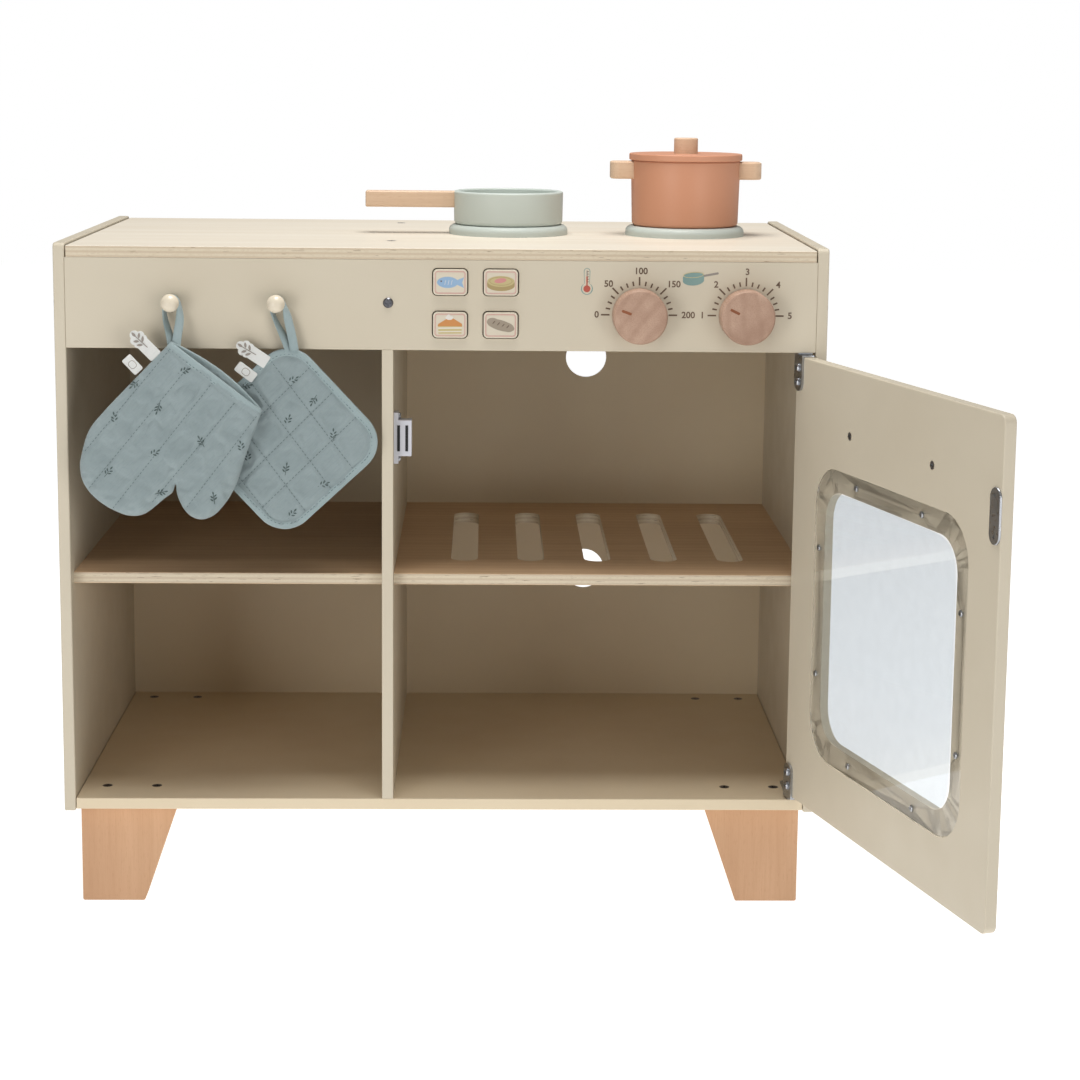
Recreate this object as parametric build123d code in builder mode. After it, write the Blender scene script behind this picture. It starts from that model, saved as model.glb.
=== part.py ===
from build123d import *
import os
from math import sqrt

os.makedirs("parts", exist_ok=True)

# Toy kitchen in painted board, birch plywood and beech, millimetres.
# The cabinet is drawn with X = 0 on its middle plane, Y = 0 on its front
# face, which looks towards -Y, and Z = 0 on the floor it stands on.
# frameShift then moves every piece so that the origin lies under the
# middle of the whole toy as it stands, oven door open.

frameShift = Location((-40.5, -15, 0))

# cabinet
cabinetWidth = 600
cabinetDepth = 332
board = 9
edgeRound = 0.8
halfInside = cabinetWidth / 2 - board
legHeight = 84.5
floorTop = legHeight + board
sideBottom = legHeight - 1.2
sideTop = 536.5
workTop = sideTop - 2
workUnder = workTop - board
panelBottom = workUnder - 70.3
dividerX = -42.5
dividerLeft = dividerX - board / 2
dividerRight = dividerX + board / 2
shelfTop = 275
shelfSetBack = 13
backFace = 316
backThick = 3

# legs
legTopWidth = 79
legFootWidth = 50
legThick = 20
legOuterX = 290.8
legSpacing = 266
legMiddleY = 33

# round holes in the back panel
ventRadius = 18.5
ventX = 126
ventZ = (213.3, 411.2)

# oven rack
slotWidth = 22
slotLength = 205
slotPitch = 54.5
ovenMiddleX = (dividerRight + halfInside) / 2

# control panel
hookX = (-208.5, -127.5)
hookZ = 492
ballRadius = 7
ballY = -15
stemRadius = 3
panelScrewX = -42
buttonX = (6, 45.2)
buttonZ = (508.5, 475.4)
windowWidth = 28
windowHeight = 21.7
buttonGap = 0.75
buttonProud = 2.5
flangeThick = 2
trayDepth = 14
trayWall = 1.8
knobX = (152.7, 235.7)
knobZ = 484
knobRadius = 21
knobThick = 20
spindleRadius = 4
clickRadius = 15
clickNotches = 12

# hob and cookware
burnerX = (52.2, 201.2)
burnerY = 168
burnerRadius = 50
burnerThick = 8
panRadius = 46
panHeight = 28
panWall = 4.8
panHandleLength = 74
panHandleThick = 13.5
potHeight = 55
lidRadius = 47.5
lidThick = 5.5
lidKnobRadius = 10
lidKnobHeight = 13

# oven door, drawn shut and turned about its pivot to stand open
doorGap = 2
hingeGap = 3
doorLeft = dividerRight + doorGap
doorRight = halfInside - doorGap
doorBottom = floorTop + hingeGap
doorTop = panelBottom - hingeGap
pivotX = 283.5
pivotY = board / 2
doorOpenAngle = 107
doorMiddleX = (doorLeft + doorRight) / 2
windowMiddleZ = 258.5
recessWidth = 243
recessTall = 231
recessRadius = 34
recessDepth = 2.5
rimWidth = 17
paneThick = 2
catchZ = 384
handleZ = 403
handleLength = 150
handleReach = 26
handleTall = 14
leafWidth = 14
leafThick = 1.8
leafTall = 27
plateThick = 1.3
catchFlange = 3.6

# textiles hanging from the hooks
mittThick = 19.5
mittBackY = -10.5
holderThick = 7
holderBackY = -2
holderSide = 115

swingOpen = Pos(pivotX, pivotY, 0) * Rot(0, 0, doorOpenAngle) * Pos(-pivotX, -pivotY, 0)


def keep(piece, name, place=Location()):
    placed = piece.part.moved(frameShift * place)
    placed.label = name
    export_step(placed, "parts/" + name + ".step")


def keepOnDoor(piece, name):
    keep(piece, name, swingOpen)


def block(x0, x1, y0, y1, z0, z1, mode=Mode.ADD):
    with Locations(((x0 + x1) / 2, (y0 + y1) / 2, (z0 + z1) / 2)):
        Box(x1 - x0, y1 - y0, z1 - z0, mode=mode)


# A screw points down its own -Z with the top of its head at the origin.
# Countersunk heads taper to the shank, pan heads are low cylinders.
# Each kind is a pair: the plain shape that cuts its hole, and the screw
# itself with the cross recess in its head.
def screw(headRadius, headTall, shankRadius, length, countersunk, crossWide=0.9):
    tip = (0, -length - shankRadius)
    if countersunk:
        head = [(headRadius, 0), (headRadius, -0.3), (shankRadius, -headTall)]
    else:
        head = [
            (headRadius * 0.75, 0), (headRadius, -headTall * 0.45),
            (headRadius, -headTall), (shankRadius, -headTall),
        ]
    with BuildPart() as plain:
        with BuildSketch(Plane.XZ):
            with BuildLine():
                Polyline((0, 0), *head, (shankRadius, -length), tip, close=True)
            make_face()
        revolve(axis=Axis.Z)
    with BuildPart() as crossed:
        add(plain.part)
        for turn in (0, 90):
            Box(
                headRadius * 1.25, crossWide, headTall * 0.9,
                rotation=(0, 0, turn), mode=Mode.SUBTRACT,
            )
    return plain.part, crossed.part


# Places are (kind, point on the head, outward direction). The result is
# the group of screws and the group of holes that they sit in.
def screwSet(places):
    with BuildPart() as holes:
        for kind, origin, outward in places:
            with Locations(Plane(origin=origin, z_dir=outward).location):
                add(kind[0])
    with BuildPart() as screws:
        for kind, origin, outward in places:
            with Locations(Plane(origin=origin, z_dir=outward).location):
                add(kind[1])
    return screws, holes


def facing(origin, outward):
    return Plane(origin=origin, z_dir=outward).location


boardScrew = screw(4, 3, 2.2, 38, True)
legScrew = screw(4, 3, 2.2, 34, True)
blackScrew = screw(4, 2.5, 1.9, 28, False)
smallScrew = screw(3, 1.8, 1.4, 8, False)
burnerScrew = screw(3, 1.8, 1.4, 14, True)
hookScrew = screw(3, 1.8, 1.4, 14, False)
hingeScrew = screw(3.4, 1.9, 1.5, 8, False)
paneScrew = screw(2.4, 1.2, 1.1, 5, False, 0.6)
handleScrew = screw(3.2, 2.2, 1.6, 22, True)
strikeScrew = screw(2.6, 1.6, 1.3, 7, True, 0.7)
catchScrew = screw(2.6, 1.8, 1.3, 9, False)
backScrew = screw(3, 1.6, 1.4, 14, False)

# fasteners

sideScrewPlaces = (
    [(y, workTop - board / 2) for y in (60, 280)]
    + [(y, floorTop - board / 2) for y in (60, 280)]
    + [(y, shelfTop - board / 2) for y in (60, 270)]
    + [(board / 2, panelBottom + 35)]
)
board_screws, boardHoles = screwSet(
    [
        (boardScrew, (side * cabinetWidth / 2, y, z), (side, 0, 0))
        for side in (-1, 1)
        for y, z in sideScrewPlaces
    ]
    + [(boardScrew, (dividerX, y, workTop), (0, 0, 1)) for y in (75, 290)]
    + [(boardScrew, (dividerX, y, legHeight), (0, 0, -1)) for y in (75, 250)]
)

leg_screws, legHoles = screwSet(
    [
        (legScrew, (side * x, y, floorTop), (0, 0, 1))
        for side in (-1, 1)
        for x in (231, 271)
        for y in (legMiddleY, legMiddleY + legSpacing)
    ]
)

panel_screw, panelScrewHole = screwSet([(blackScrew, (panelScrewX, -1.4, hookZ), (0, -1, 0))])

backScrewY = backFace + backThick + 1.6
back_screws, backHoles = screwSet(
    [(backScrew, (x, backScrewY, floorTop - board / 2), (0, 1, 0)) for x in (-250, -150, 70, 170, 250)]
    + [(backScrew, (x, backScrewY, shelfTop - board / 2), (0, 1, 0)) for x in (-250, -110, 40, 210)]
    + [(backScrew, (dividerX, backScrewY, z), (0, 1, 0)) for z in (150, 350, 480)]
)

trayMiddleX = sum(buttonX) / 2
trayMiddleZ = sum(buttonZ) / 2
trayHalfX = 39
trayHalfZ = 32.8
earWide = 9
earHole = trayHalfX + earWide / 2 + 0.5
springClipX = 17
small_screws, smallHoles = screwSet(
    [(hookScrew, (x, board + 1.8, hookZ), (0, 1, 0)) for x in hookX]
    + [(burnerScrew, (x, burnerY, workUnder), (0, 0, -1)) for x in burnerX]
    + [(smallScrew, (trayMiddleX + side * earHole, board + 3.8, trayMiddleZ), (0, 1, 0)) for side in (-1, 1)]
    + [(smallScrew, (x + springClipX, board + 2.6, knobZ + clickRadius + 4), (0, 1, 0)) for x in knobX]
)

plateScrewTop = plateThick + 1.8
hinge_plate_screws, plateHoles = screwSet(
    [(smallScrew, (pivotX, y, floorTop + plateScrewTop), (0, 0, 1)) for y in (22, 38)]
    + [(smallScrew, (pivotX, board + plateScrewTop, panelBottom + z), (0, 1, 0)) for z in (10, 20)]
    + [(catchScrew, (dividerRight + catchFlange + 1.8, 17.5, catchZ + dz), (1, 0, 0)) for dz in (-17, 17)]
)

# boards


def sidePanel(outerX):
    with BuildPart() as panel:
        with BuildSketch(Plane.YZ.offset(outerX)):
            with Locations((cabinetDepth / 2, (sideTop + sideBottom) / 2)):
                Rectangle(cabinetDepth, sideTop - sideBottom)
        extrude(amount=board)
        lengthwise = panel.edges().filter_by(Axis.X)
        fillet(lengthwise.group_by(Axis.Z)[-1].sort_by(Axis.Y)[0], 4)
        fillet(panel.edges().filter_by(Axis.X).group_by(Axis.Z)[-1].sort_by(Axis.Y)[-1], 9)
        fillet(panel.faces().sort_by(Axis.X)[0].edges(), 1.2)
        fillet(panel.faces().sort_by(Axis.X)[-1].edges(), 1.2)
        add(boardHoles.part, mode=Mode.SUBTRACT)
    return panel


side_panel_left = sidePanel(-cabinetWidth / 2)
side_panel_right = sidePanel(halfInside)

with BuildPart() as worktop:
    block(-halfInside + 1, halfInside - 1, 0, cabinetDepth - 2, workUnder, workTop)
    fillet(worktop.edges().filter_by(Axis.X), edgeRound)
    add(boardHoles.part, mode=Mode.SUBTRACT)
    add(smallHoles.part, mode=Mode.SUBTRACT)

with BuildPart() as floor_panel:
    block(-halfInside + 0.6, halfInside - 0.6, 0, backFace, legHeight, floorTop)
    fillet(floor_panel.edges().filter_by(Axis.X).group_by(Axis.Y)[0], edgeRound)
    add(boardHoles.part, mode=Mode.SUBTRACT)
    add(legHoles.part, mode=Mode.SUBTRACT)
    add(backHoles.part, mode=Mode.SUBTRACT)
    add(plateHoles.part, mode=Mode.SUBTRACT)

with BuildPart() as divider:
    block(dividerLeft, dividerRight, 0, backFace, floorTop, panelBottom)
    fillet(divider.edges().filter_by(Axis.Z).group_by(Axis.Y)[0], edgeRound)
    block(dividerLeft, dividerRight, board, backFace, panelBottom, workUnder)
    add(boardHoles.part, mode=Mode.SUBTRACT)
    add(panelScrewHole.part, mode=Mode.SUBTRACT)
    add(backHoles.part, mode=Mode.SUBTRACT)
    add(plateHoles.part, mode=Mode.SUBTRACT)

with BuildPart() as back_panel:
    block(-halfInside, halfInside, backFace, backFace + backThick, legHeight, workUnder)
    for z in ventZ:
        with Locations(facing((ventX, backFace, z), (0, -1, 0))):
            Cylinder(ventRadius, 3 * backThick, mode=Mode.SUBTRACT)
    add(backHoles.part, mode=Mode.SUBTRACT)


def shelf(x0, x1):
    block(x0, x1, shelfSetBack, backFace, shelfTop - board, shelfTop)


with BuildPart() as shelf_left:
    shelf(-halfInside, dividerLeft)
    fillet(shelf_left.edges().filter_by(Axis.X).group_by(Axis.Y)[0], edgeRound)
    add(boardHoles.part, mode=Mode.SUBTRACT)
    add(backHoles.part, mode=Mode.SUBTRACT)

with BuildPart() as oven_rack:
    shelf(dividerRight, halfInside)
    fillet(oven_rack.edges().filter_by(Axis.X).group_by(Axis.Y)[0], edgeRound)
    with BuildSketch(Plane.XY.offset(shelfTop)):
        with Locations((ovenMiddleX, (shelfSetBack + backFace) / 2)):
            with GridLocations(slotPitch, 1, 5, 1):
                SlotOverall(slotLength, slotWidth, rotation=90)
    extrude(amount=-board, mode=Mode.SUBTRACT)
    add(boardHoles.part, mode=Mode.SUBTRACT)
    add(backHoles.part, mode=Mode.SUBTRACT)


def leg(side, middleY):
    outer = side * legOuterX
    with BuildPart() as piece:
        with BuildSketch(Plane.XZ.offset(-(middleY + legThick / 2))):
            with BuildLine():
                Polyline(
                    (outer, 0), (outer, legHeight),
                    (outer - side * legTopWidth, legHeight), (outer - side * legFootWidth, 0),
                    close=True,
                )
            make_face()
        extrude(amount=legThick)
        fillet(piece.edges().filter_by(Axis.Y).group_by(Axis.Z)[0], 1.5)
        add(legHoles.part, mode=Mode.SUBTRACT)
    return piece


# control panel


def windowGrid():
    return [(x, z) for z in buttonZ for x in buttonX]


with BuildPart() as front_panel:
    block(-halfInside, halfInside, 0, board, panelBottom, workUnder)
    fillet(front_panel.edges().filter_by(Axis.X).group_by(Axis.Z)[0].sort_by(Axis.Y)[0], edgeRound)
    with BuildSketch(Plane.XZ):
        with Locations(*windowGrid()):
            RectangleRounded(windowWidth, windowHeight, 4)
    extrude(amount=-board, mode=Mode.SUBTRACT)
    for x in knobX:
        with Locations(facing((x, 0, knobZ), (0, -1, 0))):
            Cylinder(spindleRadius + 0.3, 4 * board, mode=Mode.SUBTRACT)
    add(panelScrewHole.part, mode=Mode.SUBTRACT)
    add(smallHoles.part, mode=Mode.SUBTRACT)
    add(boardHoles.part, mode=Mode.SUBTRACT)
    add(plateHoles.part, mode=Mode.SUBTRACT)


def hook(x):
    with BuildPart() as piece:
        with Locations(facing((x, 0, hookZ), (0, -1, 0))):
            Cylinder(stemRadius, -ballY, align=(Align.CENTER, Align.CENTER, Align.MIN))
        with Locations((x, ballY, hookZ)):
            Sphere(ballRadius)
        add(smallHoles.part, mode=Mode.SUBTRACT)
    return piece


trayBackY = board + trayDepth

with BuildPart() as button_guide:
    block(
        trayMiddleX - trayHalfX, trayMiddleX + trayHalfX, board, trayBackY,
        trayMiddleZ - trayHalfZ, trayMiddleZ + trayHalfZ,
    )
    block(
        trayMiddleX - trayHalfX + trayWall, trayMiddleX + trayHalfX - trayWall,
        board, trayBackY - trayWall,
        trayMiddleZ - trayHalfZ + trayWall, trayMiddleZ + trayHalfZ - trayWall, mode=Mode.SUBTRACT,
    )
    for side in (-1, 1):
        middle = trayMiddleX + side * (trayHalfX + earWide / 2)
        block(middle - earWide / 2, middle + earWide / 2, board, board + 2, trayMiddleZ - 6, trayMiddleZ + 6)
    add(smallHoles.part, mode=Mode.SUBTRACT)


def button(x, z):
    with BuildPart() as piece:
        with BuildSketch(Plane.XZ.offset(buttonProud)):
            with Locations((x, z)):
                RectangleRounded(windowWidth - 2 * buttonGap, windowHeight - 2 * buttonGap, 3.4)
        extrude(amount=-(buttonProud + board + 0.3))
        fillet(piece.faces().sort_by(Axis.Y)[0].edges(), edgeRound)
        block(
            x - windowWidth / 2 - 1.6, x + windowWidth / 2 + 1.6, board + 0.3, board + 0.3 + flangeThick,
            z - windowHeight / 2 - 1.6, z + windowHeight / 2 + 1.6,
        )
    return piece


def buttonSpring(x, z):
    wire = 0.5
    coilRadius = 4
    start = board + 0.3 + flangeThick + wire
    tall = trayBackY - trayWall - wire - start
    with BuildPart() as piece:
        with BuildLine() as path:
            Helix(pitch=tall / 4, height=tall, radius=coilRadius, center=(x, start, z), direction=(0, 1, 0))
        with BuildSketch(Plane(origin=path.line @ 0, z_dir=path.line % 0)):
            Circle(wire)
        sweep(is_frenet=True)
    return piece


def knob(x):
    with BuildPart() as piece:
        with Locations(facing((x, -0.5, knobZ), (0, -1, 0))):
            Cylinder(knobRadius, knobThick, align=(Align.CENTER, Align.CENTER, Align.MIN))
            Cylinder(
                spindleRadius, 12, align=(Align.CENTER, Align.CENTER, Align.MIN), mode=Mode.SUBTRACT,
            )
        fillet(piece.faces().sort_by(Axis.Y)[0].edges(), 1.8)
    return piece


# The spindle runs from the knob through the panel to a twelve-notch click
# wheel moulded in one piece with it.
def spindle(x):
    with BuildPart() as piece:
        with Locations(facing((x, -12.5, knobZ), (0, 1, 0))):
            Cylinder(spindleRadius, board + 18, align=(Align.CENTER, Align.CENTER, Align.MIN))
        with Locations(facing((x, board + 0.5, knobZ), (0, 1, 0))):
            Cylinder(clickRadius, 4, align=(Align.CENTER, Align.CENTER, Align.MIN))
            with PolarLocations(clickRadius + 0.6, clickNotches, start_angle=90):
                Cylinder(2, 12, mode=Mode.SUBTRACT)
    return piece


with BuildPart() as click_springs:
    for x in knobX:
        stripZ = knobZ + clickRadius + 0.3
        block(x - 12, x + springClipX + 4, board + 0.6, board + 4.4, stripZ, stripZ + 0.6)
        block(x + springClipX - 4, x + springClipX + 4, board, board + 0.8, stripZ, stripZ + 8)
    add(smallHoles.part, mode=Mode.SUBTRACT)

# hob and cookware


def burner(x):
    with BuildPart() as piece:
        with Locations((x, burnerY, workTop)):
            Cylinder(burnerRadius, burnerThick, align=(Align.CENTER, Align.CENTER, Align.MIN))
        fillet(piece.faces().sort_by(Axis.Z)[-1].edges(), 5)
        add(smallHoles.part, mode=Mode.SUBTRACT)
    return piece


hobTop = workTop + burnerThick


def bowl(x, height, footTaper):
    axis = Axis((x, burnerY, 0), (0, 0, 1))
    with BuildPart() as piece:
        with BuildSketch(Plane.XZ.offset(-burnerY)):
            with BuildLine():
                Polyline(
                    (x, hobTop), (x + panRadius - footTaper, hobTop), (x + panRadius, hobTop + height),
                    (x + panRadius - panWall, hobTop + height),
                    (x + panRadius - panWall - footTaper, hobTop + panWall), (x, hobTop + panWall),
                    close=True,
                )
            make_face()
        revolve(axis=axis)
        rings = piece.edges().filter_by(GeomType.CIRCLE)
        fillet(rings.group_by(Axis.Z)[0], 3.5)
        fillet(piece.edges().filter_by(GeomType.CIRCLE).group_by(Axis.Z)[-1], 1.6)
    return piece


pan_bowl = bowl(burnerX[0], panHeight, 0.4)
pot_bowl = bowl(burnerX[1], potHeight, 1.4)
panHandleTop = hobTop + panHeight - 0.6

with BuildPart() as pan_handle:
    handleRoot = burnerX[0] - panRadius + 2.5
    block(
        burnerX[0] - panRadius - panHandleLength, handleRoot,
        burnerY - panHandleThick / 2, burnerY + panHandleThick / 2,
        panHandleTop - panHandleThick, panHandleTop,
    )
    fillet(pan_handle.edges().filter_by(Axis.X), 1.5)
    fillet(pan_handle.edges().group_by(Axis.X)[0], 1.4)
    add(pan_bowl.part, mode=Mode.SUBTRACT)

potHandleLow = hobTop + 39.3
potHandleTall = 14.5

with BuildPart() as pot_handles:
    for side in (-1, 1):
        with BuildSketch(Plane.XY.offset(potHandleLow)):
            with Locations((burnerX[1] + side * panRadius, burnerY)):
                RectangleRounded(2 * 17.6, 24, 8)
        extrude(amount=potHandleTall)
    fillet(pot_handles.faces().filter_by(Axis.Z).edges(), 1.5)
    with Locations((burnerX[1], burnerY, hobTop)):
        Cylinder(
            panRadius - 0.4, potHeight, align=(Align.CENTER, Align.CENTER, Align.MIN), mode=Mode.SUBTRACT,
        )
    add(pot_bowl.part, mode=Mode.SUBTRACT)

potTop = hobTop + potHeight
plugRadius = panRadius - panWall - 1

with BuildPart() as lid_disc:
    with Locations((burnerX[1], burnerY, potTop)):
        Cylinder(lidRadius, lidThick, align=(Align.CENTER, Align.CENTER, Align.MIN))
    fillet(lid_disc.edges().filter_by(GeomType.CIRCLE), 1)
    with Locations((burnerX[1], burnerY, potTop)):
        Cylinder(plugRadius, 4, align=(Align.CENTER, Align.CENTER, Align.MAX))

with BuildPart() as lid_knob:
    with Locations((burnerX[1], burnerY, potTop + lidThick)):
        Cylinder(lidKnobRadius, lidKnobHeight, align=(Align.CENTER, Align.CENTER, Align.MIN))
    fillet(lid_knob.faces().sort_by(Axis.Z)[-1].edges(), 1.2)

# oven door

paneHalfX = recessWidth / 2 - 0.5
paneHalfZ = recessTall / 2 - 0.5
paneBack = board - recessDepth + paneThick
paneScrewPlaces = (
    [(side * (recessWidth / 2 - 8.5), z) for side in (-1, 1) for z in (-50, 50)]
    + [(x, side * (recessTall / 2 - 8.5)) for side in (-1, 1) for x in (-52, 52)]
)
openingWidth = recessWidth - 2 * rimWidth
openingTall = recessTall - 2 * rimWidth
plateHalf = 5.5
leafX = pivotX + plateHalf - leafWidth / 2

strikeX = doorLeft + 7.2
strikeWide = 14
strikeTall = 39
strikeThick = 1.3

window_screws, windowHoles = screwSet(
    [
        (paneScrew, (doorMiddleX + dx, paneBack + 1.2, windowMiddleZ + dz), (0, 1, 0))
        for dx, dz in paneScrewPlaces
    ]
)
handle_screws, handleHoles = screwSet(
    [(handleScrew, (doorMiddleX + dx, board, handleZ), (0, 1, 0)) for dx in (-65, 65)]
)
strike_screws, strikeHoles = screwSet(
    [(strikeScrew, (strikeX, board + strikeThick, catchZ + dz), (0, 1, 0)) for dz in (-14, 14)]
)
hinge_leaf_screws, leafHoles = screwSet(
    [
        (hingeScrew, (leafX, board + leafThick + 1.9, z), (0, 1, 0))
        for z in (doorTop - 8.5, doorTop - 19.8, doorBottom + 8.5, doorBottom + 19.8)
    ]
)

with BuildPart() as door_panel:
    block(doorLeft, doorRight, 0, board, doorBottom, doorTop)
    fillet(door_panel.edges().filter_by(Axis.Y).group_by(Axis.X)[0], 6)
    fillet(door_panel.faces().sort_by(Axis.Y)[0].edges(), 1)
    fillet(door_panel.faces().sort_by(Axis.Y)[-1].edges(), 1)
    with BuildSketch(Plane.XZ.offset(-board)):
        with Locations((doorMiddleX, windowMiddleZ)):
            RectangleRounded(recessWidth, recessTall, recessRadius)
    extrude(amount=recessDepth, mode=Mode.SUBTRACT)
    with BuildSketch(Plane.XZ):
        with Locations((doorMiddleX, windowMiddleZ)):
            RectangleRounded(openingWidth, openingTall, recessRadius - rimWidth / 2)
    extrude(amount=-board, mode=Mode.SUBTRACT)
    add(windowHoles.part, mode=Mode.SUBTRACT)
    add(handleHoles.part, mode=Mode.SUBTRACT)
    add(strikeHoles.part, mode=Mode.SUBTRACT)
    add(leafHoles.part, mode=Mode.SUBTRACT)

with BuildPart() as door_window:
    with BuildSketch(Plane.XZ.offset(-(board - recessDepth))):
        with Locations((doorMiddleX, windowMiddleZ)):
            RectangleRounded(2 * paneHalfX, 2 * paneHalfZ, recessRadius - 0.5)
    extrude(amount=-paneThick)
    add(windowHoles.part, mode=Mode.SUBTRACT)

with BuildPart() as strike_plate:
    with BuildSketch(Plane.XZ.offset(-board)):
        with Locations((strikeX, catchZ)):
            SlotOverall(strikeTall, strikeWide, rotation=90)
    extrude(amount=-strikeThick)
    fillet(strike_plate.faces().sort_by(Axis.Y)[-1].edges(), edgeRound)
    add(strikeHoles.part, mode=Mode.SUBTRACT)

with BuildPart() as door_handle:
    with BuildSketch(Plane.XY.offset(handleZ - handleTall / 2)) as bow:
        with Locations((doorMiddleX, 0)):
            Rectangle(handleLength, handleReach, align=(Align.CENTER, Align.MAX))
            Rectangle(
                handleLength - 48, handleReach - 12, align=(Align.CENTER, Align.MAX), mode=Mode.SUBTRACT,
            )
        fillet(bow.vertices().group_by(Axis.Y)[1], 4)
        fillet(bow.vertices().group_by(Axis.Y)[0], 8)
    extrude(amount=handleTall)
    chamfer(door_handle.faces().sort_by(Axis.Y)[0].edges().filter_by(Axis.X), 1.5)
    add(handleHoles.part, mode=Mode.SUBTRACT)


# One leaf of the pivot hinge: an upright plate on the door's inner face,
# a foot across the door's edge, and the rivet that turns in the fixed plate.
def hingeLeaf(edgeZ, up):
    footLow = 0.2
    footThick = 1.2
    with BuildPart() as piece:
        with BuildSketch(Plane.XZ.offset(-board)):
            with Locations((leafX, edgeZ - up * (leafTall - leafWidth / 2) / 2)):
                Rectangle(leafWidth, leafTall - leafWidth / 2)
            with Locations((leafX, edgeZ - up * (leafTall - leafWidth / 2))):
                Circle(leafWidth / 2)
        extrude(amount=-leafThick)
        footTop = sorted((edgeZ + up * footLow, edgeZ + up * (footLow + footThick)))
        block(leafX - leafWidth / 2, leafX + leafWidth / 2, 0.5, board + leafThick, footTop[0], footTop[1])
        neck = sorted((edgeZ, edgeZ + up * footLow))
        block(leafX - leafWidth / 2, leafX + leafWidth / 2, board, board + leafThick, neck[0], neck[1])
        with Locations(facing((pivotX, pivotY, edgeZ + up * footLow), (0, 0, up))):
            Cylinder(2.2, 2.7, align=(Align.CENTER, Align.CENTER, Align.MIN))
        add(leafHoles.part, mode=Mode.SUBTRACT)
    return piece


with BuildPart() as hinge_plate_bottom:
    block(pivotX - plateHalf, pivotX + plateHalf, 0.5, 46.5, floorTop, floorTop + plateThick)
    fillet(hinge_plate_bottom.edges().filter_by(Axis.Z), 3)
    with Locations((pivotX, pivotY, floorTop)):
        Cylinder(2.35, 5, mode=Mode.SUBTRACT)
    add(plateHoles.part, mode=Mode.SUBTRACT)

with BuildPart() as hinge_plate_top:
    block(
        pivotX - plateHalf, pivotX + plateHalf, 0.5, board + plateThick,
        panelBottom - plateThick, panelBottom,
    )
    block(pivotX - plateHalf, pivotX + plateHalf, board, board + plateThick, panelBottom, panelBottom + 26)
    with Locations((pivotX, pivotY, panelBottom)):
        Cylinder(2.35, 5, mode=Mode.SUBTRACT)
    add(plateHoles.part, mode=Mode.SUBTRACT)

catchFront = board + strikeThick + 0.3
catchBack = catchFront + 13.5
catchWide = 13.9
poleDepth = 6

with BuildPart() as catch_plates:
    for x in (dividerRight + 2.7, dividerRight + 9.1):
        block(x, x + 2.1, catchFront, catchFront + poleDepth, catchZ - 10.3, catchZ + 10.3)

with BuildPart() as catch_body:
    for wide, halfTall in ((catchWide, 14.2), (catchFlange, 20.3)):
        block(
            dividerRight, dividerRight + wide,
            catchFront + 0.4, catchBack,
            catchZ - halfTall, catchZ + halfTall,
        )
    add(catch_plates.part, mode=Mode.SUBTRACT)
    add(plateHoles.part, mode=Mode.SUBTRACT)

# textiles


# A flat ring round the hook's stem, from the hook down to (dx, dz).
def loopRing(x, dx, dz, nearY, thick):
    along = sqrt(dx * dx + dz * dz)
    outer = stemRadius + 2.8
    inner = stemRadius + 0.4
    ringPlane = Plane(origin=(x, nearY, hookZ), x_dir=(dx, 0, dz), z_dir=(0, -1, 0))
    with BuildSketch(ringPlane) as ring:
        SlotCenterPoint((along / 2, 0), (along, 0), 2 * outer)
        SlotCenterPoint((along / 2 - 2.5, 0), (along - 5, 0), 2 * inner, mode=Mode.SUBTRACT)
    extrude(to_extrude=ring.sketch, amount=thick)


def fromHook(x, points):
    return [(x + dx, hookZ + dz) for dx, dz in points]


cuff = [(0.7, -29.5), (70.2, -82)]
thumb = [(60.5, -111.5), (51, -137), (34.6, -163), (24.7, -167.4), (16.4, -166.2), (4, -148.7)]
crotch = (3.2, -135.5)
hand = [(-5.1, -150.4), (-23.3, -164.5), (-44.8, -160.4), (-68.8, -138.7), (-70.5, -122), (-51.4, -83.7)]
pocket = [
    (8.5, -27.5), (69, -73), (56, -100), (42, -138), (12, -118), (-14, -148),
    (-42, -152), (-62, -136), (-62, -118), (-44, -86), (-9, -46),
]

with BuildPart() as oven_mitt:
    with BuildSketch(Plane.XZ.offset(-mittBackY)):
        with BuildLine():
            outline = fromHook(hookX[0], cuff)
            notch = fromHook(hookX[0], [crotch])[0]
            Line(outline[0], outline[1])
            Spline(outline[1], *fromHook(hookX[0], thumb), notch)
            Spline(notch, *fromHook(hookX[0], hand), outline[0])
        make_face()
    extrude(amount=mittThick)
    with BuildSketch(Plane.XZ.offset(-mittBackY + 6)):
        with BuildLine():
            Polyline(*fromHook(hookX[0], pocket), close=True)
        make_face()
    extrude(amount=mittThick - 12, mode=Mode.SUBTRACT)
    loopRing(hookX[0], 0.7, -27, -4.5, 3)
    tabX = hookX[0] + 1.2
    block(tabX - 4.5, tabX + 4.5, mittBackY - 2, -4.5, hookZ - 39, hookZ - 28)

holderMiddle = (6.5, -106.5)

with BuildPart() as pot_holder:
    with BuildSketch(Plane.XZ.offset(-holderBackY)):
        with Locations(fromHook(hookX[1], [holderMiddle])[0]):
            RectangleRounded(holderSide, holderSide, 24, rotation=43)
    extrude(amount=holderThick)
    loopRing(hookX[1], 8.5, -32, -4.5, 3)

# export

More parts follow.
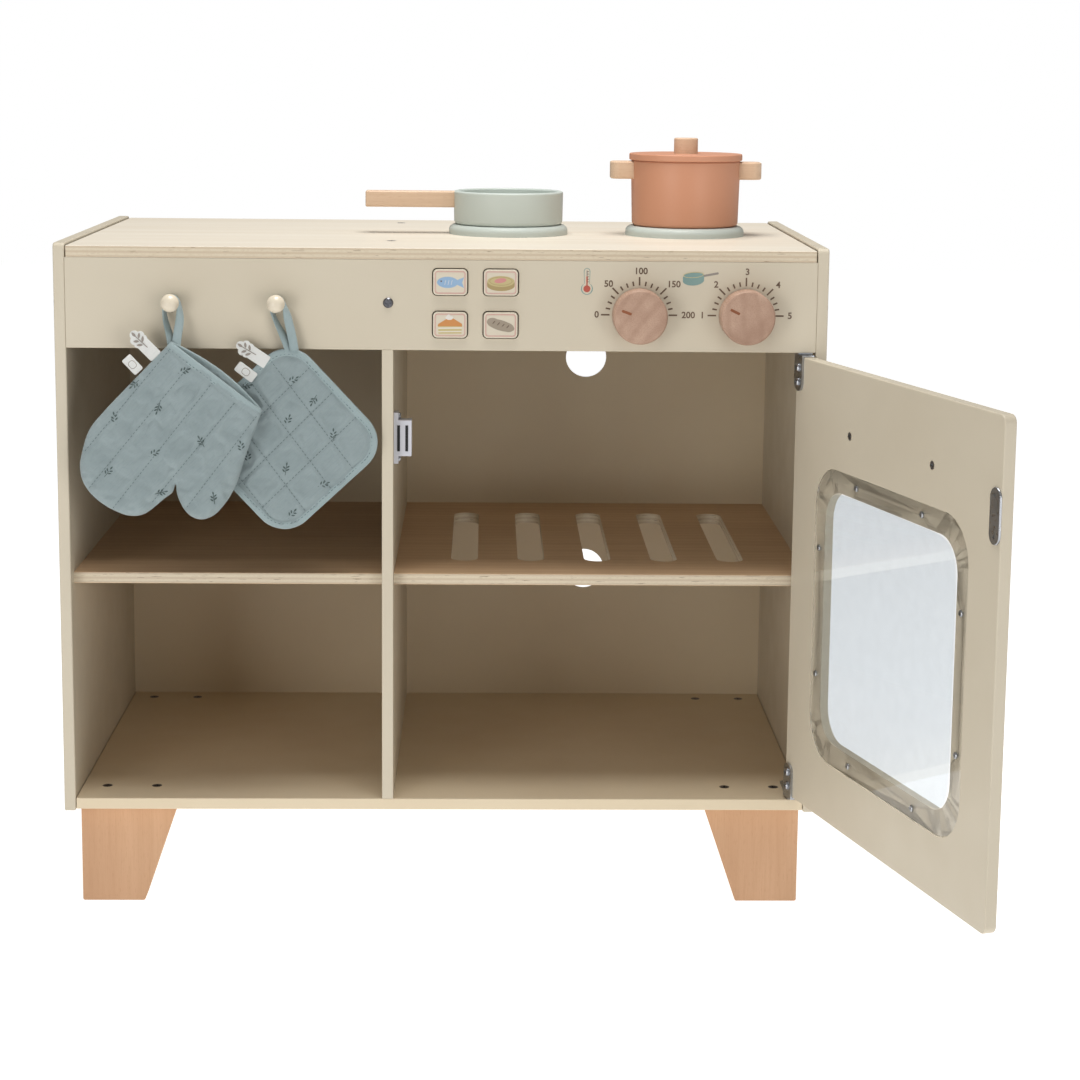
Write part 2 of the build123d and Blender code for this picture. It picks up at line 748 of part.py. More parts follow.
keep(side_panel_left, "side_panel_left")
keep(side_panel_right, "side_panel_right")
keep(worktop, "worktop")
keep(front_panel, "front_panel")
keep(back_panel, "back_panel")
keep(divider, "divider")
keep(floor_panel, "floor_panel")
keep(shelf_left, "shelf_left")
keep(oven_rack, "oven_rack")
for side, sideName in ((-1, "left"), (1, "right")):
    keep(leg(side, legMiddleY), "leg_front_" + sideName)
    keep(leg(side, legMiddleY + legSpacing), "leg_rear_" + sideName)
keep(board_screws, "board_screws")
keep(leg_screws, "leg_screws")
keep(panel_screw, "panel_screw")
keep(back_screws, "back_screws")
keep(small_screws, "small_screws")

for x, sideName in zip(hookX, ("left", "right")):
    keep(hook(x), "hook_" + sideName)
keep(button_guide, "button_guide")
for place, picture in zip(windowGrid(), ("fish", "biscuit", "cake", "bread")):
    keep(button(*place), "button_" + picture)
    keep(buttonSpring(*place), "spring_" + picture)
for x, sideName in zip(knobX, ("left", "right")):
    keep(knob(x), "knob_" + sideName)
    keep(spindle(x), "spindle_" + sideName)
keep(click_springs, "click_springs")

for x, sideName in zip(burnerX, ("left", "right")):
    keep(burner(x), "burner_" + sideName)
keep(pan_bowl, "pan_bowl")
keep(pan_handle, "pan_handle")
keep(pot_bowl, "pot_bowl")
keep(pot_handles, "pot_handles")
keep(lid_disc, "lid_disc")
keep(lid_knob, "lid_knob")

keep(catch_body, "catch_body")
keep(catch_plates, "catch_plates")
keep(hinge_plate_top, "hinge_plate_top")
keep(hinge_plate_bottom, "hinge_plate_bottom")
keep(hinge_plate_screws, "hinge_plate_screws")

keepOnDoor(door_panel, "door_panel")
keepOnDoor(door_window, "door_window")
keepOnDoor(window_screws, "window_screws")
keepOnDoor(door_handle, "door_handle")
keepOnDoor(handle_screws, "handle_screws")
keepOnDoor(strike_plate, "strike_plate")
keepOnDoor(strike_screws, "strike_screws")
keepOnDoor(hingeLeaf(doorTop, 1), "hinge_leaf_top")
keepOnDoor(hingeLeaf(doorBottom, -1), "hinge_leaf_bottom")
keepOnDoor(hinge_leaf_screws, "hinge_leaf_screws")

keep(oven_mitt, "oven_mitt")
keep(pot_holder, "pot_holder")
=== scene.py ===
import math
import bmesh
import bpy
import numpy as np
from mathutils import Matrix, Vector, noise
from mathutils.bvhtree import BVHTree
from mathutils.geometry import delaunay_2d_cdt


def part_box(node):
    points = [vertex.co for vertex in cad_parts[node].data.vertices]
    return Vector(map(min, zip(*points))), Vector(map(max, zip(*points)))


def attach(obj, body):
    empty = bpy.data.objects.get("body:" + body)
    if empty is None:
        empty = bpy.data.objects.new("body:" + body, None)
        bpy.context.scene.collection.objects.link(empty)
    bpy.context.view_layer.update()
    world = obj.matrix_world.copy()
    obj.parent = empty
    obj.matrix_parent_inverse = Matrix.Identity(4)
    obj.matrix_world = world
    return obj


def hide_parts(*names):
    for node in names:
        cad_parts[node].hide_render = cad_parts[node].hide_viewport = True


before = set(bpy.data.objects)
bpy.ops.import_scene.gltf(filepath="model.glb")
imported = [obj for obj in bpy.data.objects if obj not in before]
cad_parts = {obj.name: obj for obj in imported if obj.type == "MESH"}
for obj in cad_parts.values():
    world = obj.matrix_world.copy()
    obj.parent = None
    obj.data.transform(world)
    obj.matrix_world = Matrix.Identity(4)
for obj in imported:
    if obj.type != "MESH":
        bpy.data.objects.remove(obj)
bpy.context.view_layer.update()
mm = 0.001
print("frame loaded")

def addObject(name, data):
    obj = bpy.data.objects.new(name, data)
    bpy.context.scene.collection.objects.link(obj)
    return obj


camera = {
    "place": (-0.0073, -1.7915, 0.6731),
    "yaw": math.radians(1.398),  # turned towards the oven
    "pitch": math.radians(8.709),  # looking down
    "roll": math.radians(0.573),
    "lens": 76.67,
    "shiftDown": 0.111,
}


def addCamera():
    data = bpy.data.cameras.new("kitchenCamera")
    data.lens = camera["lens"]
    data.sensor_width = 36
    data.shift_y = -camera["shiftDown"]
    data.clip_end = 30
    obj = addObject("kitchenCamera", data)
    turn = Matrix.Rotation(-camera["yaw"], 4, "Z")
    turn = turn @ Matrix.Rotation(math.pi / 2 - camera["pitch"], 4, "X")
    turn = turn @ Matrix.Rotation(camera["roll"], 4, "Z")
    obj.matrix_world = Matrix.Translation(camera["place"]) @ turn
    bpy.context.scene.camera = obj


addCamera()

studio = {
    "gamma": 0.88,
    "skyStrength": 0.26,
    "leftBox": 10.0,  # watts
    "rightBox": 7.2,
    "topBox": 27,
    "sidePlace": (1.2, -1.75, 0.5),  # of the right box; the left one mirrors it
    "sideAim": (-0.1, 0.2, 0.35),
    "topPlace": (0, -0.05, 2.0),
    "topAim": (0, 0.05, 0.4),
    "boxWide": 0.75,
    "boxTall": 1.1,
    "floorColor": (0.45, 0.45, 0.45, 1),
    "floorGlow": 0.88,  # keeps the sweep white around the toy
}


def addBox(name, place, aim, watts):
    light = bpy.data.lights.new(name, "AREA")
    light.energy = watts
    light.shape = "RECTANGLE"
    light.size = studio["boxWide"]
    light.size_y = studio["boxTall"]
    obj = addObject(name, light)
    facing = (Vector(aim) - Vector(place)).to_track_quat("-Z", "Y")
    obj.matrix_world = Matrix.Translation(place) @ facing.to_matrix().to_4x4()


def addStudio():
    world = bpy.data.worlds.new("studioSky")
    bpy.context.scene.world = world
    world.use_nodes = True
    tree = world.node_tree
    glow = tree.nodes["Background"]
    glow.inputs["Color"].default_value = (1, 1, 1, 1)
    glow.inputs["Strength"].default_value = studio["skyStrength"]
    plain = tree.nodes.new("ShaderNodeBackground")
    plain.inputs["Strength"].default_value = 1.0
    plain.inputs["Color"].default_value = (1, 1, 1, 1)
    ray = tree.nodes.new("ShaderNodeLightPath")
    mix = tree.nodes.new("ShaderNodeMixShader")
    tree.links.new(ray.outputs["Is Camera Ray"], mix.inputs["Fac"])
    tree.links.new(glow.outputs[0], mix.inputs[1])
    tree.links.new(plain.outputs[0], mix.inputs[2])
    tree.links.new(mix.outputs[0], tree.nodes["World Output"].inputs["Surface"])
    for name, side, watts in (("Left", -1, studio["leftBox"]), ("Right", 1, studio["rightBox"])):
        place, aim = ((side * x, y, z) for x, y, z in (studio["sidePlace"], studio["sideAim"]))
        addBox("softBox" + name, place, aim, watts)
    addBox("softBoxTop", studio["topPlace"], studio["topAim"], studio["topBox"])
    mesh = bpy.data.meshes.new("studioFloor")
    half = 6
    mesh.from_pydata([(-half, -half, 0), (half, -half, 0), (half, half, 0), (-half, half, 0)],
                     [], [(0, 1, 2, 3)])
    floor = addObject("studioFloor", mesh)
    paper = bpy.data.materials.new("studioPaper")
    paper.use_nodes = True
    shader = paper.node_tree.nodes["Principled BSDF"]
    shader.inputs["Base Color"].default_value = studio["floorColor"]
    shader.inputs["Roughness"].default_value = 0.9
    shader.inputs["Emission Color"].default_value = (1, 1, 1, 1)
    shader.inputs["Emission Strength"].default_value = studio["floorGlow"]
    mesh.materials.append(paper)
    bpy.context.scene.view_settings.view_transform = "Standard"
    bpy.context.scene.view_settings.gamma = studio["gamma"]


addStudio()
print("camera and studio ready")


def newGroup(name, inputs, outputs):
    tree = bpy.data.node_groups.new(name, "ShaderNodeTree")
    for label, kind, value in inputs:
        socket = tree.interface.new_socket(label, in_out="INPUT", socket_type="NodeSocket" + kind)
        if value is not None:
            socket.default_value = value
    for label, kind in outputs:
        tree.interface.new_socket(label, in_out="OUTPUT", socket_type="NodeSocket" + kind)
    return tree, tree.nodes.new("NodeGroupInput"), tree.nodes.new("NodeGroupOutput")


def put(tree, kind, **values):
    node = tree.nodes.new("ShaderNode" + kind)
    for key, value in values.items():
        if hasattr(node, key):
            setattr(node, key, value)
        else:
            node.inputs[key].default_value = value
    return node


def scaled(tree, vector, factors):
    node = put(tree, "VectorMath", operation="MULTIPLY")
    node.inputs[1].default_value = factors
    tree.links.new(vector, node.inputs[0])
    return node.outputs[0]


def noiseOf(tree, vector, scale, detail=2.0, roughness=0.5):
    node = put(tree, "TexNoise")
    node.inputs["Detail"].default_value = detail
    node.inputs["Roughness"].default_value = roughness
    if isinstance(scale, (int, float)):
        node.inputs["Scale"].default_value = scale
    else:
        tree.links.new(scale, node.inputs["Scale"])
    tree.links.new(vector, node.inputs["Vector"])
    return node.outputs["Fac"]


def ranged(tree, value, low, high, toLow, toHigh):
    node = put(tree, "MapRange")
    tree.links.new(value, node.inputs["Value"])
    for label, number in (("From Min", low), ("From Max", high), ("To Min", toLow), ("To Max", toHigh)):
        if isinstance(number, (int, float)):
            node.inputs[label].default_value = number
        else:
            tree.links.new(number, node.inputs[label])
    return node.outputs["Result"]


def mixed(tree, amount, first, second, how="MIX"):
    node = tree.nodes.new("ShaderNodeMix")
    node.data_type = "RGBA"
    node.blend_type = how
    for socket, value in ((node.inputs[0], amount), (node.inputs[6], first), (node.inputs[7], second)):
        if isinstance(value, (int, float, tuple)):
            socket.default_value = value
        else:
            tree.links.new(value, socket)
    return node.outputs[2]


def maths(tree, operation, first, second):
    node = put(tree, "Math", operation=operation)
    for socket, value in zip(node.inputs, (first, second)):
        if isinstance(value, (int, float)):
            socket.default_value = value
        else:
            tree.links.new(value, socket)
    return node.outputs[0]


def bumped(tree, height, distance, strength=1.0):
    node = put(tree, "Bump")
    node.inputs["Distance"].default_value = distance
    if isinstance(strength, (int, float)):
        node.inputs["Strength"].default_value = strength
    else:
        tree.links.new(strength, node.inputs["Strength"])
    tree.links.new(height, node.inputs["Height"])
    return node.outputs["Normal"]


finishOut = (("Color", "Color"), ("Roughness", "Float"), ("Normal", "Vector"))


def finished(tree, out, color, roughness, normal):
    for label, socket in (("Color", color), ("Roughness", roughness), ("Normal", normal)):
        tree.links.new(socket, out.inputs[label])
    return tree


def makePaintSkin():
    tree, given, out = newGroup("paintSkin", (
        ("Color", "Color", (0.6, 0.5, 0.4, 1)), ("Shade", "Color", (0.5, 0.4, 0.3, 1)),
        ("Tone", "Float", 0.3), ("Roller Scale", "Float", 900.0), ("Roller Depth", "Float", 0.3),
        ("Sheen Low", "Float", 0.38), ("Sheen High", "Float", 0.52)), finishOut)
    place = put(tree, "TexCoord").outputs["Object"]
    cloud = noiseOf(tree, place, 7.0, 3.0)
    speck = noiseOf(tree, place, 260.0, 2.0)
    amount = maths(tree, "MULTIPLY", ranged(tree, cloud, 0.35, 0.7, 0.0, 1.0), given.outputs["Tone"])
    color = mixed(tree, amount, given.outputs["Color"], given.outputs["Shade"])
    color = mixed(tree, ranged(tree, speck, 0.62, 0.8, 0.0, 0.12), color, given.outputs["Shade"])
    roller = noiseOf(tree, place, given.outputs["Roller Scale"], 2.0, 0.6)
    sheen = ranged(tree, noiseOf(tree, place, 35.0, 2.0), 0.3, 0.7,
                   given.outputs["Sheen Low"], given.outputs["Sheen High"])
    return finished(tree, out, color, sheen, bumped(tree, roller, 0.00012, given.outputs["Roller Depth"]))


def makeWoodGrain():
    tree, given, out = newGroup("woodGrain", (
        ("Vector", "Vector", None), ("Light", "Color", (0.7, 0.5, 0.3, 1)),
        ("Dark", "Color", (0.5, 0.3, 0.2, 1)), ("Band", "Float", 0.7), ("Ring Scale", "Float", 26.0),
        ("Ring", "Float", 0.3), ("Fleck", "Float", 0.4), ("Pore", "Float", 0.3),
        ("Sheen Low", "Float", 0.42), ("Sheen High", "Float", 0.58)), finishOut)
    place = given.outputs["Vector"]  # x along the grain
    bands = noiseOf(tree, scaled(tree, place, (2.2, 42.0, 42.0)), 1.0, 3.0, 0.55)
    rings = put(tree, "TexWave", wave_type="BANDS", bands_direction="Y")
    tree.links.new(given.outputs["Ring Scale"], rings.inputs["Scale"])
    rings.inputs["Distortion"].default_value = 5.0
    rings.inputs["Detail"].default_value = 2.0
    rings.inputs["Detail Scale"].default_value = 0.7
    tree.links.new(scaled(tree, place, (0.16, 1.0, 1.0)), rings.inputs["Vector"])
    fibre = noiseOf(tree, scaled(tree, place, (24.0, 900.0, 900.0)), 1.0, 2.0)
    fleck = noiseOf(tree, scaled(tree, place, (170.0, 1500.0, 1500.0)), 1.0, 1.0)
    amount = maths(tree, "MULTIPLY", ranged(tree, bands, 0.3, 0.75, 0.0, 1.0), given.outputs["Band"])
    color = mixed(tree, amount, given.outputs["Light"], given.outputs["Dark"])
    ring = ranged(tree, rings.outputs["Fac"], 0.45, 1.0, 0.0, 1.0)
    ring = maths(tree, "MULTIPLY", ring, given.outputs["Ring"])
    color = mixed(tree, ring, color, given.outputs["Dark"])
    color = mixed(tree, ranged(tree, fibre, 0.45, 0.8, 0.0, 0.3), color, given.outputs["Dark"])
    marks = maths(tree, "MULTIPLY", ranged(tree, fleck, 0.6, 0.72, 0.0, 1.0), given.outputs["Fleck"])
    color = mixed(tree, marks, color, given.outputs["Dark"])
    sheen = ranged(tree, fibre, 0.3, 0.7, given.outputs["Sheen Low"], given.outputs["Sheen High"])
    return finished(tree, out, color, sheen, bumped(tree, fibre, 0.00015, given.outputs["Pore"]))


def makeClothWeave():
    tree, given, out = newGroup("clothWeave", (
        ("Color", "Color", (0.3, 0.4, 0.4, 1)), ("Shade", "Color", (0.2, 0.3, 0.3, 1)),
        ("Thread Scale", "Float", 620.0), ("Thread Depth", "Float", 0.5)), finishOut)
    place = put(tree, "TexCoord").outputs["Object"]
    turned = put(tree, "Mapping")
    turned.inputs["Rotation"].default_value = (0, math.radians(44), 0)
    tree.links.new(place, turned.inputs["Vector"])
    warp = put(tree, "TexWave", wave_type="BANDS", bands_direction="X")
    weft = put(tree, "TexWave", wave_type="BANDS", bands_direction="Z")
    for threads in (warp, weft):
        threads.inputs["Distortion"].default_value = 1.2
        threads.inputs["Detail"].default_value = 1.0
        tree.links.new(given.outputs["Thread Scale"], threads.inputs["Scale"])
        tree.links.new(turned.outputs[0], threads.inputs["Vector"])
    weave = maths(tree, "MULTIPLY", warp.outputs["Fac"], weft.outputs["Fac"])
    slub = noiseOf(tree, scaled(tree, turned.outputs[0], (60.0, 900.0, 900.0)), 1.0, 2.0)
    cloud = noiseOf(tree, place, 55.0, 3.0)
    color = mixed(tree, ranged(tree, cloud, 0.35, 0.7, 0.0, 0.35), given.outputs["Color"],
                  given.outputs["Shade"])
    color = mixed(tree, ranged(tree, slub, 0.5, 0.75, 0.0, 0.25), color, given.outputs["Shade"])
    color = mixed(tree, ranged(tree, weave, 0.0, 0.5, 0.22, 0.0), color, given.outputs["Shade"])
    height = maths(tree, "ADD", weave, maths(tree, "MULTIPLY", slub, 0.6))
    return finished(tree, out, color, ranged(tree, slub, 0.3, 0.7, 0.78, 0.92),
                    bumped(tree, height, 0.00018, given.outputs["Thread Depth"]))


def makeMetalSkin():
    tree, given, out = newGroup("metalSkin", (
        ("Color", "Color", (0.6, 0.6, 0.6, 1)), ("Shade", "Color", (0.4, 0.4, 0.4, 1)),
        ("Mark Scale", "Float", 300.0), ("Depth", "Float", 0.3), ("Sheen Low", "Float", 0.24),
        ("Sheen High", "Float", 0.42)), finishOut)
    place = put(tree, "TexCoord").outputs["Object"]
    marks = noiseOf(tree, place, given.outputs["Mark Scale"], 3.0, 0.6)
    cloud = noiseOf(tree, place, 90.0, 2.0)
    color = mixed(tree, ranged(tree, cloud, 0.3, 0.7, 0.0, 0.7), given.outputs["Color"],
                  given.outputs["Shade"])
    sheen = ranged(tree, marks, 0.3, 0.7, given.outputs["Sheen Low"], given.outputs["Sheen High"])
    return finished(tree, out, color, sheen, bumped(tree, marks, 0.0001, given.outputs["Depth"]))


paintSkin = makePaintSkin()
woodGrain = makeWoodGrain()
clothWeave = makeClothWeave()
metalSkin = makeMetalSkin()


def newMaterial(name, group, values, **sockets):
    material = bpy.data.materials.new(name)
    material.use_nodes = True
    tree = material.node_tree
    shader = tree.nodes["Principled BSDF"]
    for label, value in sockets.items():
        shader.inputs[label.replace("_", " ")].default_value = value
    skin = tree.nodes.new("ShaderNodeGroup")
    skin.node_tree = group
    for label, value in values.items():
        skin.inputs[label].default_value = value
    tree.links.new(skin.outputs["Color"], shader.inputs["Base Color"])
    tree.links.new(skin.outputs["Roughness"], shader.inputs["Roughness"])
    tree.links.new(skin.outputs["Normal"], shader.inputs["Normal"])
    return material


def paint(name, color, shade, **values):
    values = {"Color": color, "Shade": shade, **{k.replace("_", " "): v for k, v in values.items()}}
    return newMaterial(name, paintSkin, values, Specular_IOR_Level=0.42)


grainTurns = {
    "x": (0, 0, 0),
    "z": (0, math.pi / 2, 0),
    "door": (0, 0, math.radians(73)),
    "knobLeft": (0, math.radians(-38), -math.pi / 2),  # end grain, its rings leaning
    "knobRight": (0, math.radians(8), -math.pi / 2),
}


def alongGrain(material, axis):
    # feeds the grain group with coordinates whose x runs along the wood
    tree = material.node_tree
    skin = [n for n in tree.nodes if n.type == "GROUP"][0]
    place = put(tree, "TexCoord").outputs["Object"]
    turn = put(tree, "Mapping")
    turn.inputs["Rotation"].default_value = grainTurns[axis]
    tree.links.new(place, turn.inputs["Vector"])
    tree.links.new(turn.outputs[0], skin.inputs["Vector"])
    return material


def wood(name, light, dark, axis, **values):
    values = {"Light": light, "Dark": dark, **{k.replace("_", " "): v for k, v in values.items()}}
    return alongGrain(newMaterial(name, woodGrain, values, Specular_IOR_Level=0.35), axis)


plyLook = {
    "edgeLight": (0.66, 0.58, 0.45, 1),
    "edgeDark": (0.56, 0.46, 0.34, 1),
    "void": (0.20, 0.13, 0.08, 1),
    "layers": 5.0,
}


def plywood(name, light, dark, bottom, thickness):
    material = wood(name, light, dark, "x", Band=0.55, Fleck=0.25, Pore=0.35)
    tree = material.node_tree
    skin = [n for n in tree.nodes if n.type == "GROUP"][0]
    shader = tree.nodes["Principled BSDF"]
    place = put(tree, "TexCoord").outputs["Object"]
    height = put(tree, "SeparateXYZ")
    tree.links.new(place, height.inputs[0])
    turns = plyLook["layers"] * math.pi / thickness
    above = maths(tree, "SUBTRACT", height.outputs["Z"], bottom)
    wave = maths(tree, "SINE", maths(tree, "MULTIPLY", above, turns), 0.0)
    dash = noiseOf(tree, scaled(tree, place, (70.0, 70.0, 1500.0)), 1.0, 2.0)
    streak = noiseOf(tree, scaled(tree, place, (500.0, 500.0, 900.0)), 1.0, 2.0)
    edge = mixed(tree, ranged(tree, wave, -0.3, 0.5, 0.0, 0.75), plyLook["edgeLight"], plyLook["edgeDark"])
    edge = mixed(tree, ranged(tree, streak, 0.45, 0.75, 0.0, 0.4), edge, plyLook["edgeDark"])
    edge = mixed(tree, ranged(tree, dash, 0.66, 0.7, 0.0, 0.9), edge, plyLook["void"])
    facing = put(tree, "NewGeometry")
    upright = put(tree, "SeparateXYZ")
    tree.links.new(facing.outputs["Normal"], upright.inputs[0])
    flat = maths(tree, "GREATER_THAN", maths(tree, "ABSOLUTE", upright.outputs["Z"], 0.0), 0.6)
    tree.links.new(mixed(tree, flat, edge, skin.outputs["Color"]), shader.inputs["Base Color"])
    return material


cream = {
    "Color": (0.615, 0.555, 0.445, 1),
    "Shade": (0.575, 0.51, 0.40, 1),
}
boardPaint = paint("boardPaint", cream["Color"], cream["Shade"], Tone=0.6, Roller_Depth=0.35)
creamGloss = paint("creamGloss", (0.72, 0.65, 0.53, 1), (0.66, 0.58, 0.45, 1), Roller_Depth=0.1,
                   Sheen_Low=0.16, Sheen_High=0.24)
capPaint = paint("capPaint", (0.66, 0.60, 0.49, 1), (0.60, 0.53, 0.42, 1), Roller_Depth=0.15,
                 Sheen_Low=0.3, Sheen_High=0.4)
# the back and floor boards carry the same cream paint as the rest, here made warmer and brighter: painted
# warm bounce light inside the oven
insideBounceLightPaint = paint("insideBounceLightPaint", (0.72, 0.62, 0.46, 1), (0.68, 0.57, 0.41, 1), Tone=0.6, Roller_Depth=0.35)
sagePaint = paint("sagePaint", (0.60, 0.645, 0.60, 1), (0.545, 0.585, 0.54, 1), Tone=0.6, Roller_Depth=0.3)
clayPaint = paint("clayPaint", (0.64, 0.335, 0.215, 1), (0.58, 0.285, 0.175, 1), Tone=0.6, Roller_Depth=0.3)
plasticWhite = paint("plasticWhite", (0.62, 0.62, 0.66, 1), (0.55, 0.55, 0.6, 1), Roller_Depth=0.15,
                     Sheen_Low=0.3, Sheen_High=0.45)
plasticDark = paint("plasticDark", (0.02, 0.02, 0.022, 1), (0.03, 0.03, 0.03, 1), Roller_Depth=0.2,
                    Sheen_Low=0.5, Sheen_High=0.65)
beechLight, beechDark = (0.67, 0.44, 0.28, 1), (0.50, 0.29, 0.165, 1)
beechLegs = wood("beechLegs", beechLight, beechDark, "z", Band=0.6, Fleck=0.45)
beechHandle = wood("beechHandle", (0.76, 0.58, 0.43, 1), (0.58, 0.39, 0.25, 1), "x", Band=0.7, Fleck=0.35)
knobGrain = {"Band": 0.7, "Ring Scale": 30.0, "Ring": 0.22, "Fleck": 0.6, "Pore": 0.6}
knobLight, knobDark = (0.53, 0.37, 0.28, 1), (0.33, 0.20, 0.14, 1)
beechKnobLeft = wood("beechKnobLeft", knobLight, knobDark, "knobLeft", **knobGrain)
beechKnobRight = wood("beechKnobRight", knobLight, knobDark, "knobRight", **knobGrain)
beechDoor = wood("beechDoor", beechLight, beechDark, "door", Band=0.6, Fleck=0.4)
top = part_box("worktop")
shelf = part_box("shelf_left")
plyTop = plywood("plyTop", (0.77, 0.715, 0.62, 1), (0.67, 0.59, 0.47, 1), top[0].z, top[1].z - top[0].z)
plyShelf = plywood("plyShelf", (0.72, 0.52, 0.34, 1), (0.55, 0.36, 0.21, 1),
                   shelf[0].z, shelf[1].z - shelf[0].z)


def steel(name, color, shade, **values):
    values = {"Color": color, "Shade": shade, **{k.replace("_", " "): v for k, v in values.items()}}
    return newMaterial(name, metalSkin, values, Metallic=1.0)


zincSteel = steel("zincSteel", (0.50, 0.51, 0.53, 1), (0.36, 0.37, 0.39, 1))
darkSteel = steel("darkSteel", (0.24, 0.24, 0.26, 1), (0.12, 0.12, 0.135, 1))
springSteel = steel("springSteel", (0.55, 0.56, 0.58, 1), (0.4, 0.4, 0.42, 1), Mark_Scale=900.0)
clearPane = newMaterial("clearPane", metalSkin, {
    "Color": (0.74, 0.78, 0.81, 1), "Shade": (0.71, 0.75, 0.78, 1), "Mark Scale": 30.0, "Depth": 0.02,
    "Sheen Low": 0.01, "Sheen High": 0.05}, Transmission_Weight=1.0, IOR=1.49)
paneTree = clearPane.node_tree
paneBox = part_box("door_window")
paneMiddle = (paneBox[0] + paneBox[1]) / 2
openingHalf = {"across": 104.5 * mm, "up": 98.5 * mm}
doorTurn = math.radians(107)


def paneRimPaintedLight(tree):
    # painted light: the pane is tinted almost white where it lies over the cream-painted rim, so that the rim
    # seen through it looks as bright as bare paint
    skin = [n for n in tree.nodes if n.type == "GROUP"][0]
    place = put(tree, "TexCoord").outputs["Object"]
    offset = put(tree, "VectorMath", operation="SUBTRACT")
    offset.inputs[1].default_value = paneMiddle
    tree.links.new(place, offset.inputs[0])
    parts = []
    for way, half in (((math.cos(doorTurn), math.sin(doorTurn), 0), openingHalf["across"]),
                      ((0, 0, 1), openingHalf["up"])):
        along = put(tree, "VectorMath", operation="DOT_PRODUCT")
        along.inputs[1].default_value = way
        tree.links.new(offset.outputs[0], along.inputs[0])
        share = maths(tree, "ABSOLUTE", maths(tree, "DIVIDE", along.outputs["Value"], half), 0.0)
        parts.append(maths(tree, "POWER", share, 9.0))
    # where the pane lies over the rim and takes the painted light
    onRim = ranged(tree, maths(tree, "ADD", parts[0], parts[1]), 0.96, 1.04, 0.0, 1.0)
    color = mixed(tree, onRim, skin.outputs["Color"], (0.97, 0.975, 0.975, 1))
    tree.links.new(color, tree.nodes["Principled BSDF"].inputs["Base Color"])


paneRimPaintedLight(paneTree)
litThrough = ranged(paneTree, put(paneTree, "LightPath").outputs["Is Shadow Ray"], 0.0, 1.0, 1.0, 0.06)
paneTree.links.new(litThrough, paneTree.nodes["Principled BSDF"].inputs["Alpha"])


def cloth(name, color, shade, **sockets):
    return newMaterial(name, clothWeave, {"Color": color, "Shade": shade}, **sockets)


softSheen = {"Sheen_Weight": 0.25, "Sheen_Roughness": 0.5, "Specular_IOR_Level": 0.2}
tealCloth = cloth("tealCloth", (0.33, 0.385, 0.39, 1), (0.23, 0.28, 0.285, 1), **softSheen)
tealBinding = cloth("tealBinding", (0.36, 0.43, 0.435, 1), (0.28, 0.35, 0.355, 1), **softSheen)
sprigInk = cloth("sprigInk", (0.095, 0.125, 0.12, 1), (0.15, 0.19, 0.185, 1), Specular_IOR_Level=0.15)
labelCloth = cloth("labelCloth", (0.74, 0.74, 0.71, 1), (0.62, 0.62, 0.6, 1), Specular_IOR_Level=0.2)
seamThread = cloth("seamThread", (0.15, 0.195, 0.195, 1), (0.11, 0.14, 0.14, 1), Specular_IOR_Level=0.2)
inks = {
    "brownInk": ((0.13, 0.085, 0.055, 1), (0.19, 0.13, 0.09, 1)),
    "redInk": ((0.50, 0.12, 0.085, 1), (0.42, 0.10, 0.07, 1)),
    "pinkInk": ((0.55, 0.22, 0.20, 1), (0.60, 0.30, 0.28, 1)),
    "tealInk": ((0.19, 0.29, 0.27, 1), (0.26, 0.37, 0.345, 1)),
    "greyInk": ((0.36, 0.32, 0.28, 1), (0.28, 0.25, 0.22, 1)),
    "blueInk": ((0.24, 0.37, 0.54, 1), (0.35, 0.48, 0.62, 1)),
    "tanInk": ((0.48, 0.38, 0.20, 1), (0.38, 0.29, 0.14, 1)),
    "sandInk": ((0.62, 0.53, 0.30, 1), (0.50, 0.42, 0.22, 1)),
    "orangeInk": ((0.52, 0.22, 0.07, 1), (0.62, 0.32, 0.12, 1)),
    "whiteInk": ((0.78, 0.76, 0.70, 1), (0.66, 0.62, 0.56, 1)),
    "breadInk": ((0.30, 0.25, 0.19, 1), (0.40, 0.34, 0.27, 1)),
    "pointerInk": ((0.30, 0.11, 0.05, 1), (0.22, 0.08, 0.035, 1)),
}
inkOf = {name: paint(name, pair[0], pair[1], Tone=1.0, Roller_Depth=0.1) for name, pair in inks.items()}

dressed = {
    boardPaint: ["side_panel_left", "side_panel_right", "front_panel", "divider", "door_panel"],
    insideBounceLightPaint: ["back_panel", "floor_panel"],
    plyTop: ["worktop"],
    plyShelf: ["shelf_left", "oven_rack"],
    beechLegs: ["leg_front_left", "leg_front_right", "leg_rear_left", "leg_rear_right"],
    beechHandle: ["pan_handle", "pot_handles", "lid_knob"],
    beechKnobLeft: ["knob_left"],
    beechKnobRight: ["knob_right"],
    beechDoor: ["door_handle"],
    sagePaint: ["burner_left", "burner_right", "pan_bowl"],
    clayPaint: ["pot_bowl", "lid_disc"],
    creamGloss: ["hook_left", "hook_right"],
    capPaint: ["button_fish", "button_biscuit", "button_cake", "button_bread"],
    clearPane: ["door_window"],
    plasticWhite: ["catch_body", "spindle_left", "spindle_right"],
    plasticDark: ["button_guide", "catch_plates"],
    darkSteel: ["panel_screw", "leg_screws"],
    springSteel: ["spring_fish", "spring_biscuit", "spring_cake", "spring_bread", "click_springs"],
}
for material, nodes in dressed.items():
    for node in nodes:
        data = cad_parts[node].data
        data.materials.clear()
        data.materials.append(material)
named = {node for nodes in dressed.values() for node in nodes} | {"oven_mitt", "pot_holder"}
for node in set(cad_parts) - named:
    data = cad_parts[node].data
    data.materials.clear()
    data.materials.append(zincSteel)
print("frame nodes dressed")


